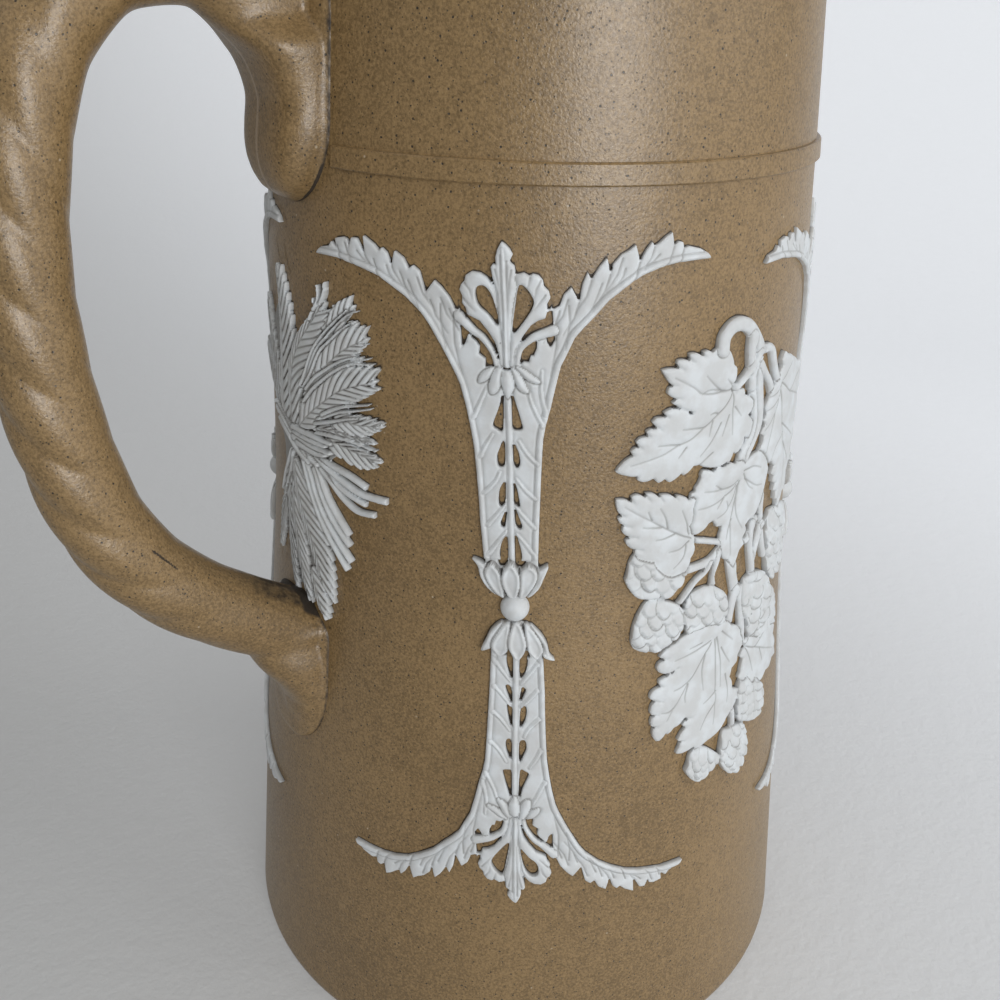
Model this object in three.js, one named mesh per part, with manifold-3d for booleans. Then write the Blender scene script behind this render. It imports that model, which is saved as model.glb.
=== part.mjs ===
// A tapering stoneware pitcher with a rope-twist handle and white sprigged ornament.
// Millimetres, +Z up. The origin is the centre of the flat foot, the lip is at +X and the handle at -X.

import * as THREE from 'three';
import { mergeVertices } from 'three/addons/utils/BufferGeometryUtils.js';
import Module from 'manifold-3d';

const wasm = await Module();
wasm.setup();

// Body: outside radius at each height, then its wall and floor.
const footRadius = 59.8;
const lowerRadius = 55.4;
const waistRadius = 50.4;
const shoulderRadius = 48.2;
const neckRadius = 45.4;
const rimRadius = 43.2;
const lowerHeight = 50;
const waistHeight = 100;
const shoulderHeight = 150;
const neckAboveBand = 26;
const rimAboveBand = 52;
const wall = 4.6;
const floorThickness = 7;
const footChamfer = 1.2;

// Lip, pulled out of the rim opposite the handle.
const lipReach = 14;
const lipRise = 4;
const lipHalfAngle = 34;
const lipDepth = 28;

// Raised girth band, turned round the shoulder.
const bandHeight = 163.8;
const bandWidth = 3.2;
const bandProud = 0.6;

// What is luted on keeps this gap to the body and to its neighbours, and the broad sprigs a little more.
const seat = 0.3;
const sprigSeat = 0.4;

// Handle: a rope of twisted strands, pressed out to a tongue against the body at each end.
const handleAngle = 180;
const handleLean = -0.036;
const ropeRadius = 6.3;
const ropeStrands = 4;
const ropeLead = 46;
const ropeRelief = 0.9;
const crownBelowRim = 24;
const gripHeight = 144;
const gripStandoff = 40.9;
const rootBelowKnop = 14.3;
const rootPitch = 0.62;
const tongueHalfWidth = 11;
const tongueProud = 7.2;
const tongueAbove = 8;
const upperTongueBelowBand = 6.3;
const lowerTongueBelowRoot = 27.5;
const flangeThickness = 1.1;

// Columns: four alike, each an upper and a lower sprig from one mould with a knop between them.
const columnsFromHandle = [51.4, 141.4, 231.4, 321.4];
const columnLean = -0.048;
const columnLength = 55.9;
const columnSpread = 32.4;
const columnBelowBand = 6.9;
const columnRelief = 1;
const rimBeadRelief = 1.5;
const calyxRelief = 1.9;
const stemHalfWidth = 0.6;
const knopRadius = 2.35;
const knopRelief = 1.9;

// Hop sprays and barley sheaves: one of each on either side.
const hopsFromHandle = [93, 273];
const hopAboveKnop = 1.7;
const hopLength = 87;
const leafRelief = 1.7;
const sprigEdge = 0.7;
const coneRelief = 2.8;
const stemRelief = 1.5;
const barleyFromHandle = [-1.7, 178.3];
const barleyAboveKnop = 20.2;
const barleyLength = 59;
const earRelief = 2.3;
const strawHalfWidth = 1.3;

const segments = 64;
const degrees = Math.PI / 180;
const rimHeight = bandHeight + rimAboveBand;
const knopHeight = bandHeight - columnBelowBand - columnLength - knopRadius - seat;
const rootHeight = knopHeight - rootBelowKnop;
const finish = { roughness: 0.55, metalness: 0, flatShading: true };
const tan = 0x9a7d55;
const white = 0xdfe3e8;

const profile = [
  [0, footRadius],
  [lowerHeight, lowerRadius],
  [waistHeight, waistRadius],
  [shoulderHeight, shoulderRadius],
  [bandHeight + neckAboveBand, neckRadius],
  [rimHeight, rimRadius],
];

// Slope of the profile at one of its stations.
function stationSlope(i) {
  const a = profile[Math.max(i - 1, 0)];
  const b = profile[Math.min(i + 1, profile.length - 1)];
  return (b[1] - a[1]) / (b[0] - a[0]);
}

// Outside radius of the body at height z: a smooth curve through the stations.
function bodyRadius(z) {
  let i = 0;
  while (i < profile.length - 2 && z > profile[i + 1][0]) i++;
  const [z0, r0] = profile[i];
  const [z1, r1] = profile[i + 1];
  const span = z1 - z0;
  const t = Math.min(Math.max((z - z0) / span, 0), 1);
  const t2 = t * t;
  const t3 = t2 * t;
  return r0 * (2 * t3 - 3 * t2 + 1) + stationSlope(i) * span * (t3 - 2 * t2 + t)
    + r1 * (3 * t2 - 2 * t3) + stationSlope(i + 1) * span * (t3 - t2);
}

// Point at the given angle and height, lifted off the body, u millimetres round from that angle.
function onBody(angle, u, z, lift) {
  const surface = bodyRadius(z);
  const turn = angle * degrees + u / surface;
  return new THREE.Vector3((surface + lift) * Math.cos(turn), (surface + lift) * Math.sin(turn), z);
}

// Geometry from points and triangles, without empty triangles, turned over where its faces point in.
function facingOut(points, index) {
  let geometry = new THREE.BufferGeometry().setFromPoints(points);
  geometry.setIndex(index);
  geometry = mergeVertices(geometry, 1e-4);
  const corner = (i) => new THREE.Vector3().fromBufferAttribute(geometry.attributes.position, i);
  const kept = [];
  let volume = 0;
  for (let i = 0; i < geometry.index.count; i += 3) {
    const [a, b, c] = [0, 1, 2].map((k) => geometry.index.getX(i + k));
    if (a === b || b === c || a === c) continue;
    kept.push(a, b, c);
    volume += corner(a).dot(corner(b).cross(corner(c)));
  }
  geometry.setIndex(volume < 0 ? kept.reverse() : kept);
  return geometry;
}

// Closed solid through a row of rings with equal counts of points, with a fan on each end.
function loft(rings) {
  const count = rings[0].length;
  const index = [];
  for (let k = 0; k + 1 < rings.length; k++) {
    for (let i = 0; i < count; i++) {
      const a = k * count + i;
      const b = k * count + ((i + 1) % count);
      index.push(a, b, b + count, a, b + count, a + count);
    }
  }
  const last = (rings.length - 1) * count;
  for (let i = 1; i + 1 < count; i++) {
    index.push(0, i + 1, i, last, last + i, last + i + 1);
  }
  return facingOut(rings.flat(), index);
}

// Closed solid turned from an outline of radius and height pairs.
function turned(outline) {
  const lathe = new THREE.LatheGeometry(outline.map(([r, z]) => new THREE.Vector2(r, z)), segments);
  lathe.rotateX(Math.PI / 2);
  const p = lathe.attributes.position;
  const points = Array.from({ length: p.count }, (_, i) => new THREE.Vector3().fromBufferAttribute(p, i));
  return facingOut(points, [...lathe.index.array]);
}

// Manifold solid from a closed geometry.
function solid(geometry) {
  return new wasm.Manifold(new wasm.Mesh({
    numProp: 3,
    vertProperties: new Float32Array(geometry.attributes.position.array),
    triVerts: new Uint32Array(geometry.index.array),
  }));
}

// Geometry of a manifold solid.
function geometryOf(manifold) {
  const mesh = manifold.getMesh();
  const geometry = new THREE.BufferGeometry();
  geometry.setAttribute('position', new THREE.Float32BufferAttribute(mesh.vertProperties, 3));
  geometry.setIndex(new THREE.BufferAttribute(mesh.triVerts, 1));
  return geometry;
}

// One solid joined from several closed geometries.
function joined(geometries) {
  return geometries.map(solid).reduce((sum, next) => sum.add(next));
}

// The largest of the separate bodies that a cut leaves.
function largest(manifold) {
  return manifold.decompose().reduce((best, next) => (next.volume() > best.volume() ? next : best));
}

// Ridge of clay along a path on a sheet: half-width and relief are functions of the share of its length.
function ridge(points, steps, halfWidth, relief, place) {
  const curve = new THREE.CatmullRomCurve3(points.map(([u, v]) => new THREE.Vector3(u, v, 0)));
  const path = curve.getSpacedPoints(steps);
  const rings = path.map((p, i) => {
    const along = path[Math.min(i + 1, steps)].clone().sub(path[Math.max(i - 1, 0)]).normalize();
    const w = halfWidth(i / steps);
    const at = (side, lift) => place(p.x - along.y * side * w, p.y + along.x * side * w, lift);
    return [at(-1, 0), at(1, 0), at(0, relief(i / steps))];
  });
  return loft(rings);
}

// Leaf or cone: a mound that thins from the crown to its outline, with rings at the shares between them.
function mound(crown, outline, relief, place, lowerShares, upperShares) {
  const count = outline.length;
  const level = (share, lift) => outline.map(([u, v]) =>
    place(crown[0] + (u - crown[0]) * share, crown[1] + (v - crown[1]) * share, lift));
  const rings = [
    ...lowerShares.map((share) => level(share, 0)),
    ...upperShares.toReversed().map((share) => level(share, relief + (sprigEdge - relief) * share * share)),
  ];
  const points = [place(crown[0], crown[1], 0), place(crown[0], crown[1], relief), ...rings.flat()];
  const last = 2 + (rings.length - 1) * count;
  const index = [];
  for (let i = 0; i < count; i++) {
    const j = (i + 1) % count;
    index.push(0, 2 + j, 2 + i, 1, last + i, last + j);
    for (let k = 0; k + 1 < rings.length; k++) {
      const a = 2 + k * count;
      index.push(a + i, a + j, a + count + j, a + i, a + count + j, a + count + i);
    }
  }
  return facingOut(points, index);
}

// Pierced sprig: a flat outline with its openings, bent round the body, each corner with its own relief.
function pierced(outline, openings, relief, place) {
  const vector = ([u, v]) => new THREE.Vector2(u, v);
  const shape = new THREE.Shape(outline.map(vector));
  shape.holes = openings.map((hole) => new THREE.Path(hole.map(vector)));
  const p = new THREE.ExtrudeGeometry(shape, { depth: 1, bevelEnabled: false }).attributes.position;
  const points = Array.from({ length: p.count }, (_, i) =>
    place(p.getX(i), p.getY(i), p.getZ(i) * relief(p.getX(i), p.getY(i))));
  return facingOut(points, points.map((_, i) => i));
}

// Oval outline round a centre, its long side along the heading in degrees from +u.
function oval(centre, length, width, heading, count) {
  const [c, s] = [Math.cos(heading * degrees), Math.sin(heading * degrees)];
  return Array.from({ length: count }, (_, i) => {
    const t = (i / count) * 2 * Math.PI;
    const along = (length / 2) * Math.cos(t);
    const across = (width / 2) * Math.sin(t);
    return [centre[0] + along * c - across * s, centre[1] + along * s + across * c];
  });
}

// How much of the lip's reach and rise a point of the wall takes.
function lipShare(turn, z) {
  const fromLip = turn - (handleAngle - 180) * degrees;
  const away = Math.abs(Math.atan2(Math.sin(fromLip), Math.cos(fromLip))) / (lipHalfAngle * degrees);
  const climb = Math.min(Math.max((z - (rimHeight - lipDepth)) / lipDepth, 0), 1);
  return away < 1 ? (0.5 + 0.5 * Math.cos(Math.PI * away)) * climb * climb : 0;
}

// Heights of the body's outer rings, from shares of the way up to the rim's round.
function bodyHeights() {
  const shares = [0.12, 0.24, 0.36, 0.425, 0.485, 0.54, 0.6, 0.725, 0.83, 0.908, 0.957, 1];
  return shares.map((share) => share * (rimHeight - wall / 2));
}

function body() {
  const inside = [0.99, 0.928, 0.84, 0.628, 0.338].map((share) => share * (rimHeight - wall / 2));
  const floorRadius = bodyRadius(floorThickness) - wall;
  const geometry = turned([
    [0, 0],
    [footRadius - footChamfer, 0],
    [bodyRadius(footChamfer), footChamfer],
    ...bodyHeights().map((z) => [bodyRadius(z), z]),
    [rimRadius - wall * 0.2, rimHeight - wall * 0.1],
    [rimRadius - wall * 0.5, rimHeight],
    [rimRadius - wall * 0.8, rimHeight - wall * 0.1],
    ...inside.map((z) => [bodyRadius(z) - wall, z]),
    [floorRadius - 4, floorThickness + 2],
    [floorRadius - 10, floorThickness],
    [0, floorThickness],
  ]);
  const p = geometry.attributes.position;
  for (let i = 0; i < p.count; i++) {
    const [x, y, z] = [p.getX(i), p.getY(i), p.getZ(i)];
    const share = lipShare(Math.atan2(y, x), z);
    const grow = 1 + (lipReach * share) / Math.max(Math.hypot(x, y), 1);
    p.setXYZ(i, x * grow, y * grow, z + lipRise * share);
  }
  return geometry;
}

// The band stops on each side of the upper tongue.
function girthBand() {
  const tongue = (tongueHalfWidth + 2 * seat) / bodyRadius(bandHeight) / degrees;
  const start = handleAngleAt(bandHeight) + tongue;
  const sweep = 360 - 2 * tongue;
  const rings = Array.from({ length: segments + 1 }, (_, i) => {
    const angle = start + (sweep * i) / segments;
    const at = (z, lift) => onBody(angle, 0, z, lift);
    return [
      at(bandHeight, seat / 2),
      at(bandHeight + bandWidth, seat / 2),
      at(bandHeight + bandWidth, seat / 2 + bandProud),
      at(bandHeight, seat / 2 + bandProud),
    ];
  });
  return loft(rings);
}

function handleAngleAt(z) {
  return handleAngle + handleLean * (z - gripHeight);
}

// Centre line of the rope as reach from the body's axis and height, from the upper tongue to the lower.
function ropeLine() {
  const crown = rimHeight - crownBelowRim;
  const upperSeat = bodyRadius(crown);
  const lowerSeat = bodyRadius(rootHeight);
  const out = (share) => bodyRadius(gripHeight) + gripStandoff * share;
  const above = (share) => gripHeight + (crown - gripHeight) * share;
  const below = (share) => gripHeight + (rootHeight - gripHeight) * share;
  return [
    [upperSeat - 3, crown - 1.2],
    [upperSeat + 9, crown],
    [out(0.51), above(0.99)],
    [out(0.65), above(0.93)],
    [out(0.785), above(0.81)],
    [out(0.873), above(0.665)],
    [out(0.946), above(0.455)],
    [out(0.99), above(0.23)],
    [out(1), gripHeight],
    [out(0.976), below(0.233)],
    [out(0.902), below(0.483)],
    [out(0.785), below(0.658)],
    [out(0.601), below(0.808)],
    [lowerSeat + 12, rootHeight + 12 * rootPitch],
    [lowerSeat, rootHeight],
    [lowerSeat - 3, rootHeight - 3 * rootPitch],
  ];
}

// The strands are round-backed with a crease between two, and fade out before the tongues.
function handleRope() {
  const steps = 40;
  const pointsPerStrand = 4;
  const curve = new THREE.CatmullRomCurve3(ropeLine().map(([r, z]) => new THREE.Vector3(r, 0, z)));
  const length = curve.getLength();
  const rings = curve.getSpacedPoints(steps).map((p, i) => {
    const share = i / steps;
    const along = curve.getTangentAt(share);
    const relief = ropeRelief * Math.min(1, share * 9, (1 - share) * 5);
    const turn = handleAngleAt(p.z) * degrees;
    return Array.from({ length: ropeStrands * pointsPerStrand }, (_, k) => {
      const a = (k / ropeStrands / pointsPerStrand - (share * length) / ropeLead) * 2 * Math.PI;
      const bulge = Math.sin(((k % pointsPerStrand) / pointsPerStrand) * Math.PI);
      const r = ropeRadius + relief * bulge + (ropeRelief - relief) * 0.6;
      const reach = p.x + along.z * Math.cos(a) * r;
      const side = Math.sin(a) * r;
      return new THREE.Vector3(
        reach * Math.cos(turn) - side * Math.sin(turn),
        reach * Math.sin(turn) + side * Math.cos(turn),
        p.z - along.x * Math.cos(a) * r,
      );
    });
  });
  return loft(rings);
}

// Tongue that hangs from a rope's end: rounded below, with a thin flange round a domed back.
function tongue(root, low) {
  const steps = 10;
  const high = root + tongueAbove;
  const across = [-1, -0.86, -0.6, -0.25, 0.25, 0.6, 0.86, 1];
  const rings = Array.from({ length: steps + 1 }, (_, i) => {
    const share = 0.5 - 0.5 * Math.cos((Math.PI * i) / steps);
    const z = low + share * (high - low);
    const fromEnd = Math.min(share / 0.32, (1 - share) / 0.2, 1);
    const round = Math.sqrt(Math.max(0.03, 1 - (1 - fromEnd) ** 2));
    const dome = tongueProud * Math.min(1, (z - low) / (0.55 * (root - low))) ** 0.8;
    const lift = (t) => flangeThickness * round + dome * round * Math.max(0, 1 - 1.35 * t * t) ** 0.7;
    const point = (t, h) => onBody(handleAngleAt(z), t * tongueHalfWidth * round, z, h);
    return [...across.map((t) => point(t, 0)), ...across.toReversed().map((t) => point(t, seat + lift(t)))];
  });
  return loft(rings);
}

// What the handle is cut back to: the body, grown by the seat.
function bodyClearance() {
  const heights = [-1, ...bodyHeights(), rimHeight + 20];
  return turned([[0, -1], ...heights.map((z) => [bodyRadius(z) + seat, z]), [0, rimHeight + 20]]);
}

function handle() {
  const pieces = [
    handleRope(),
    tongue(rimHeight - crownBelowRim, bandHeight - upperTongueBelowBand),
    tongue(rootHeight, rootHeight - lowerTongueBelowRoot),
  ];
  return geometryOf(largest(joined(pieces).subtract(solid(bodyClearance()))));
}

// Right edge of a half column, from the knop out along the calyx, the shaft and the volute to its tip.
const columnEdge = [
  [2, 2.7], [4.3, 5.2], [5.4, 8], [4.1, 8.6], [4.1, 14], [4.2, 20], [4.8, 26], [5.5, 32], [6.6, 37.4],
  [8.2, 41.2], [10.3, 44.2], [13, 47.5], [16, 49.7], [20, 51.9], [25, 53.3], [32.4, 54],
];

// Back from that tip along the teeth of the volute to the foot of the anthemion.
const voluteTeeth = [
  [28.4, 54.6], [27.2, 56.3], [25.4, 54.6], [24, 57], [22.2, 54.1], [20.4, 56.6], [18.6, 53.1],
  [16.8, 55.6], [15.2, 51.6], [13, 53.9], [12.8, 49.8], [10.2, 51.8], [10.4, 47.6], [7.6, 48.6], [6.6, 46.4],
];

// The anthemion between the volutes: a scroll lobe with its opening, then the finial.
const anthemion = [
  [6.9, 49], [6.2, 51.6], [4.6, 53.9], [3, 54], [1.9, 52.6], [2, 54.8], [1.2, 57], [0, 58.6],
];
const scrollOpening = [[1.5, 46.4], [3.4, 47.1], [4.9, 49.2], [4.6, 51.2], [3.4, 52], [2.2, 50.4]];

// Pierced openings beside the stem: where each starts and ends above the knop, and its width.
const shaftOpenings = [
  [8.2, 12.9, 1.5], [14.2, 17, 1.4], [18.2, 21.4, 1.6], [24.4, 28, 1.6], [30.2, 37, 1.9],
];

const mirrored = ([u, v]) => [-u, v];

// Relief of a column: the outer rim is a bead, and the calyx and the finial stand up a little more.
function columnLift(u, v) {
  if (v < 8.5) return calyxRelief;
  const onRim = columnEdge.some(([a, b]) => Math.hypot(Math.abs(u) - a, v - b) < 0.01);
  return onRim || (Math.abs(u) < 2.5 && v > 52) ? rimBeadRelief : columnRelief;
}

// Upper half where half is 1, lower half where it is -1.
function columnSprig(angle, half) {
  const right = [...columnEdge, ...voluteTeeth, ...anthemion];
  const outline = [...right, ...right.slice(0, -1).map(mirrored).reverse()];
  const openings = shaftOpenings.map(([low, high, width]) => [
    [stemHalfWidth, low],
    [stemHalfWidth + width, low + 0.5],
    [stemHalfWidth + width, high - 1],
    [stemHalfWidth, high],
  ]);
  openings.push(scrollOpening);
  const foot = columnEdge[0][1];
  const scaleV = columnLength / (anthemion.at(-1)[1] - foot);
  const scaleU = columnSpread / columnEdge.at(-1)[0];
  const place = (u, v, lift) => {
    const rise = half * (knopRadius + seat + (v - foot) * scaleV);
    return onBody(angle, half * u * scaleU + columnLean * rise, knopHeight + rise, sprigSeat + lift);
  };
  return pierced(outline, [...openings, ...openings.map((hole) => hole.map(mirrored))], columnLift, place);
}

function columnKnop(angle) {
  const place = (u, v, lift) => onBody(angle, u, knopHeight + v, sprigSeat + lift);
  return mound([0, 0], oval([0, 0], 2 * knopRadius, 2 * knopRadius, 0, 10), knopRelief, place, [1], [0.6, 1]);
}

// Hop leaves on their sheet: the crown of each leaf, then the tips and notches of its outline.
const hopLeaves = [
  [[-6.4, 28], [-3.4, 39.2], [-9.5, 39.6], [-14.7, 37.6], [-12.2, 34], [-10.2, 30.6], [-15.5, 29.6],
    [-21.4, 21.6], [-12, 19.4], [-6.4, 21.6], [-2.9, 19.6], [0.5, 21.4], [4.6, 24.2], [4.4, 30], [1.6, 31.8]],
  [[-12.4, 10.4], [-7.4, 15], [-15.5, 17.8], [-21.2, 17.3], [-18.4, 7.5], [-15.6, 4.6], [-10, 2.6],
    [-6.4, 5], [-6, 8.4]],
  [[1.6, 12.4], [8.4, 14.6], [6, 18], [1.5, 19.6], [-8.5, 16.2], [-6.4, 10.6], [-2.4, 9.8], [3.2, 0.8],
    [5.6, 11]],
  [[15.6, 24.5], [10.6, 33.8], [13.6, 36], [18, 33.6], [24.8, 28.4], [24.2, 21], [22, 14], [18.2, 8.6],
    [11.4, 14.4], [8.6, 22.5], [8.6, 29.4]],
  [[-2.8, -21], [0.4, -10.4], [-7, -9.4], [-12.8, -12.6], [-10.4, -15.4], [-14, -20.5], [-13, -28.6],
    [-7.6, -26.6], [-8.6, -32.8], [-2, -34.4], [2.5, -31.5], [5.4, -26], [6, -17.5], [5.4, -11.5]],
  [[13.8, -17.5], [7.4, -14], [8, -23], [13.5, -27.2], [23, -25], [20.4, -20.4], [21, -16], [17.4, -9],
    [12.5, -9.6]],
  [[9.6, -29.4], [5.2, -31], [11, -33.6], [16.5, -33.8], [15.5, -28], [11.4, -25.6], [5.4, -26]],
];

// Hop cones: centre, length, width and heading.
const hopCones = [
  [[-13.4, 2.4], 12, 10.6, -75], [[-13.2, -6.2], 10.4, 9.6, -100], [[-3.2, -6], 11, 9, -95],
  [[-3.2, -36.2], 8.6, 7.4, -110], [[5.6, -37.4], 10.4, 8.2, -80], [[14.6, -4], 11, 8.4, -80],
  [[18.8, 4], 9.4, 7.6, -75],
];

// Hop stems: half-width, then the path.
const hopStems = [
  [1.1, [-4.6, 38.5], [-3.6, 42.3], [-0.8, 43.9], [2.6, 42.4], [5.2, 38.5], [6.4, 31], [5.4, 22], [2.6, 10],
    [2.6, 0], [5.2, -8], [6, -18], [5.6, -34]],
  [0.8, [5.4, 37.6], [3.2, 34.6], [0.6, 32]],
  [0.8, [5.8, 37.4], [9.4, 37], [12, 32.5]],
  [0.8, [2.2, 3.4], [-3, 2.8], [-9, 2.4]],
  [0.7, [-3, 2.6], [-9.6, -3.2]],
  [0.8, [12.8, 14], [10.8, 6], [10.2, -10]],
  [0.7, [10.8, 7], [17.6, 5]],
];

function hopSpray(angle) {
  const scale = hopLength / 87;
  const place = (u, v, lift) =>
    onBody(angle, u * scale, knopHeight + hopAboveKnop + v * scale, sprigSeat + lift);
  return geometryOf(joined([
    ...hopStems.map(([w, ...path]) => ridge(path, path.length + 1, () => w, () => stemRelief, place)),
    ...hopLeaves.map(([crown, ...outline]) => mound(crown, outline, leafRelief, place, [0.5, 1], [0.6, 1])),
    ...hopCones.map(([centre, length, width, heading]) =>
      mound(centre, oval(centre, length, width, heading, 9), coneRelief, place, [1], [0.7, 1])),
  ]));
}

// Barley ears on their sheet: where each leaves the tie, its tip and its width.
const barleyEars = [
  [[-0.5, 3], [-2, 29.5], 8.5], [[1.5, 3], [11.5, 28], 8.5], [[3, 4], [19.6, 25.4], 8.2],
  [[4, 3.5], [23.4, 17.4], 8], [[5, 2.6], [24.6, 8.3], 6.5], [[7, 1.5], [24.4, 1], 4.6],
  [[-2, 3], [-11, 27.6], 8.5], [[-3, 3.5], [-19, 21], 8.4], [[-3.5, 3], [-24, 10], 7.5],
  [[3, -6], [15.4, -29.5], 8.6], [[-0.2, -7], [1, -25], 8.4], [[-3, -6], [-14.4, -29], 8.4],
];

// Cut straws that splay out below the tie.
const barleyStraws = [
  [[4, -2], [11, -6], [22, -5.2]], [[4, -3], [9, -8.6], [20, -9.4]], [[3, -4], [9, -12], [17, -17]],
  [[-4, -3], [-10, -7], [-21, -6.6]], [[-4, -4], [-9, -12], [-17, -16.6]],
];

// An ear swells and tapers, with a ridge along its middle.
function barleyEar(from, to, width, place) {
  const swell = (share) => Math.max(0.14, Math.sin(Math.PI * (0.1 + 0.8 * share)) ** 0.8);
  return ridge([from, to], 5, (s) => (width / 2) * swell(s), (s) => earRelief * swell(s), place);
}

function barleySheaf(angle) {
  const scale = barleyLength / 59;
  const place = (u, v, lift) =>
    onBody(angle, u * scale, knopHeight + barleyAboveKnop + v * scale, sprigSeat + lift);
  return geometryOf(joined([
    ...barleyEars.map(([from, to, width]) => barleyEar(from, to, width, place)),
    ...barleyStraws.map((path) => ridge(path, 3, () => strawHalfWidth, () => stemRelief, place)),
    ridge([[-9, 3.4], [-2, 0.6], [8, -2.8]], 3, () => 2.8, () => earRelief + 0.9, place),
    ridge([[-6, -3], [0, -5.4], [5, -5]], 3, () => 3, () => earRelief, place),
  ]));
}

const pitcher = new THREE.Group();

function add(name, geometry, color) {
  geometry.computeVertexNormals();
  const mesh = new THREE.Mesh(geometry, new THREE.MeshStandardMaterial({ color, ...finish }));
  mesh.name = name;
  pitcher.add(mesh);
}

add('body', body(), tan);
add('girth_band', girthBand(), tan);
add('handle', handle(), tan);
columnsFromHandle.forEach((offset, i) => {
  add(`column_${i + 1}_upper`, columnSprig(handleAngle + offset, 1), white);
  add(`column_${i + 1}_knop`, columnKnop(handleAngle + offset), white);
  add(`column_${i + 1}_lower`, columnSprig(handleAngle + offset, -1), white);
});
hopsFromHandle.forEach((offset, i) => add(`hop_spray_${i + 1}`, hopSpray(handleAngle + offset), white));
barleyFromHandle.forEach((offset, i) =>
  add(`barley_sheaf_${i + 1}`, barleySheaf(handleAngle + offset), white));

export default pitcher;
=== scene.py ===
"""A tapering stoneware pitcher with a rope-twist handle and white sprigged ornament.

Sizes are in millimetres, angles in degrees, and each finished mesh is in metres on the frame.
The axis of the body is Z, the lip is at +X and the handle at -X.
"""

import logging
import math
from collections.abc import Callable, Iterable, Sequence
from dataclasses import dataclass
from enum import Enum

import bpy
import numpy as np
from mathutils import Matrix, Vector


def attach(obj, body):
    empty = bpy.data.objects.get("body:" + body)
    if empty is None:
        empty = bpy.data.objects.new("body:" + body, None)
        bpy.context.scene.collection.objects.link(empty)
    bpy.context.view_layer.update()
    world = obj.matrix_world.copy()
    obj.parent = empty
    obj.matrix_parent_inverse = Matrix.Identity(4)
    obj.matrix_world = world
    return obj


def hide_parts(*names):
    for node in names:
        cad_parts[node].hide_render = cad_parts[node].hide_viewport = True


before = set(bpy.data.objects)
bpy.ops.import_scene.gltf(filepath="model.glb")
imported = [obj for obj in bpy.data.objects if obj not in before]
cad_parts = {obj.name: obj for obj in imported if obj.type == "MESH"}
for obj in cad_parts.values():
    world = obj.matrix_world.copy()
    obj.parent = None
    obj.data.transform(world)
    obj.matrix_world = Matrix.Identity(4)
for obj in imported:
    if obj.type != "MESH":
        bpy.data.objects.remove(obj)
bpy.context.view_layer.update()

MM = 0.001
# Name of the point value that darkens a surface: soiling, and painted shade in hollows, notches and where
# parts meet.
DIRT_AND_SHADE = "dirt_and_shade"
# Name of the point value for the light line along the tongues' crest: a worn mould seam with a painted
# highlight of the ridge.
SEAM_AND_SHEEN = "seam"
log = logging.getLogger("pitcher")

Pair = tuple[float, float]
Points = tuple[Pair, ...]
Outlines = tuple[Points, ...]
Line = Sequence[Pair]
Colour = tuple[float, float, float]
Spots = tuple[float, float, float]
Window = tuple[slice, slice]
Array = np.ndarray
Place = Callable[[Array, Array, Array], Array]
Piece = bpy.types.Object
Material = bpy.types.Material


class Slot(Enum):
    """The record's material slots."""

    CLAY = "tan_stoneware"
    BAND = "tan_band"
    SPRIG = "white_sprig"


# Shader graphs


class Link:
    """One shader socket that takes part in arithmetic: an expression on links adds Math nodes."""

    def __init__(self, graph: "Graph", socket: bpy.types.NodeSocket) -> None:
        """Keeps the graph that new nodes go into and the socket that is read."""
        self.graph = graph
        self.socket = socket

    def _math(self, operation: str, first: "Link | float", second: "Link | float") -> "Link":
        """A Math node on two values."""
        return self.graph.node("ShaderNodeMath", {"operation": operation}, {0: first, 1: second})

    def __add__(self, other: "Link | float") -> "Link":
        """Sum."""
        return self._math("ADD", self, other)

    def __sub__(self, other: "Link | float") -> "Link":
        """Difference."""
        return self._math("SUBTRACT", self, other)

    def __rsub__(self, other: "Link | float") -> "Link":
        """Difference from a number."""
        return self._math("SUBTRACT", other, self)

    def __mul__(self, other: "Link | float") -> "Link":
        """Product."""
        return self._math("MULTIPLY", self, other)

    __radd__ = __add__
    __rmul__ = __mul__

    def larger(self, other: "Link | float") -> "Link":
        """The larger of the two."""
        return self._math("MAXIMUM", self, other)

    def step(self, low: float, high: float) -> "Link":
        """A smooth step.

        Args:
            low: Where the step is 0.
            high: Where the step is 1. It may lie below low.

        Returns:
            The step's link, from 0 to 1.
        """
        at_first, at_last = (0.0, 1.0) if low < high else (1.0, 0.0)
        values = {0: self, 1: min(low, high), 2: max(low, high), 3: at_first, 4: at_last}
        return self.graph.node("ShaderNodeMapRange", {"interpolation_type": "SMOOTHSTEP"}, values)


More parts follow.
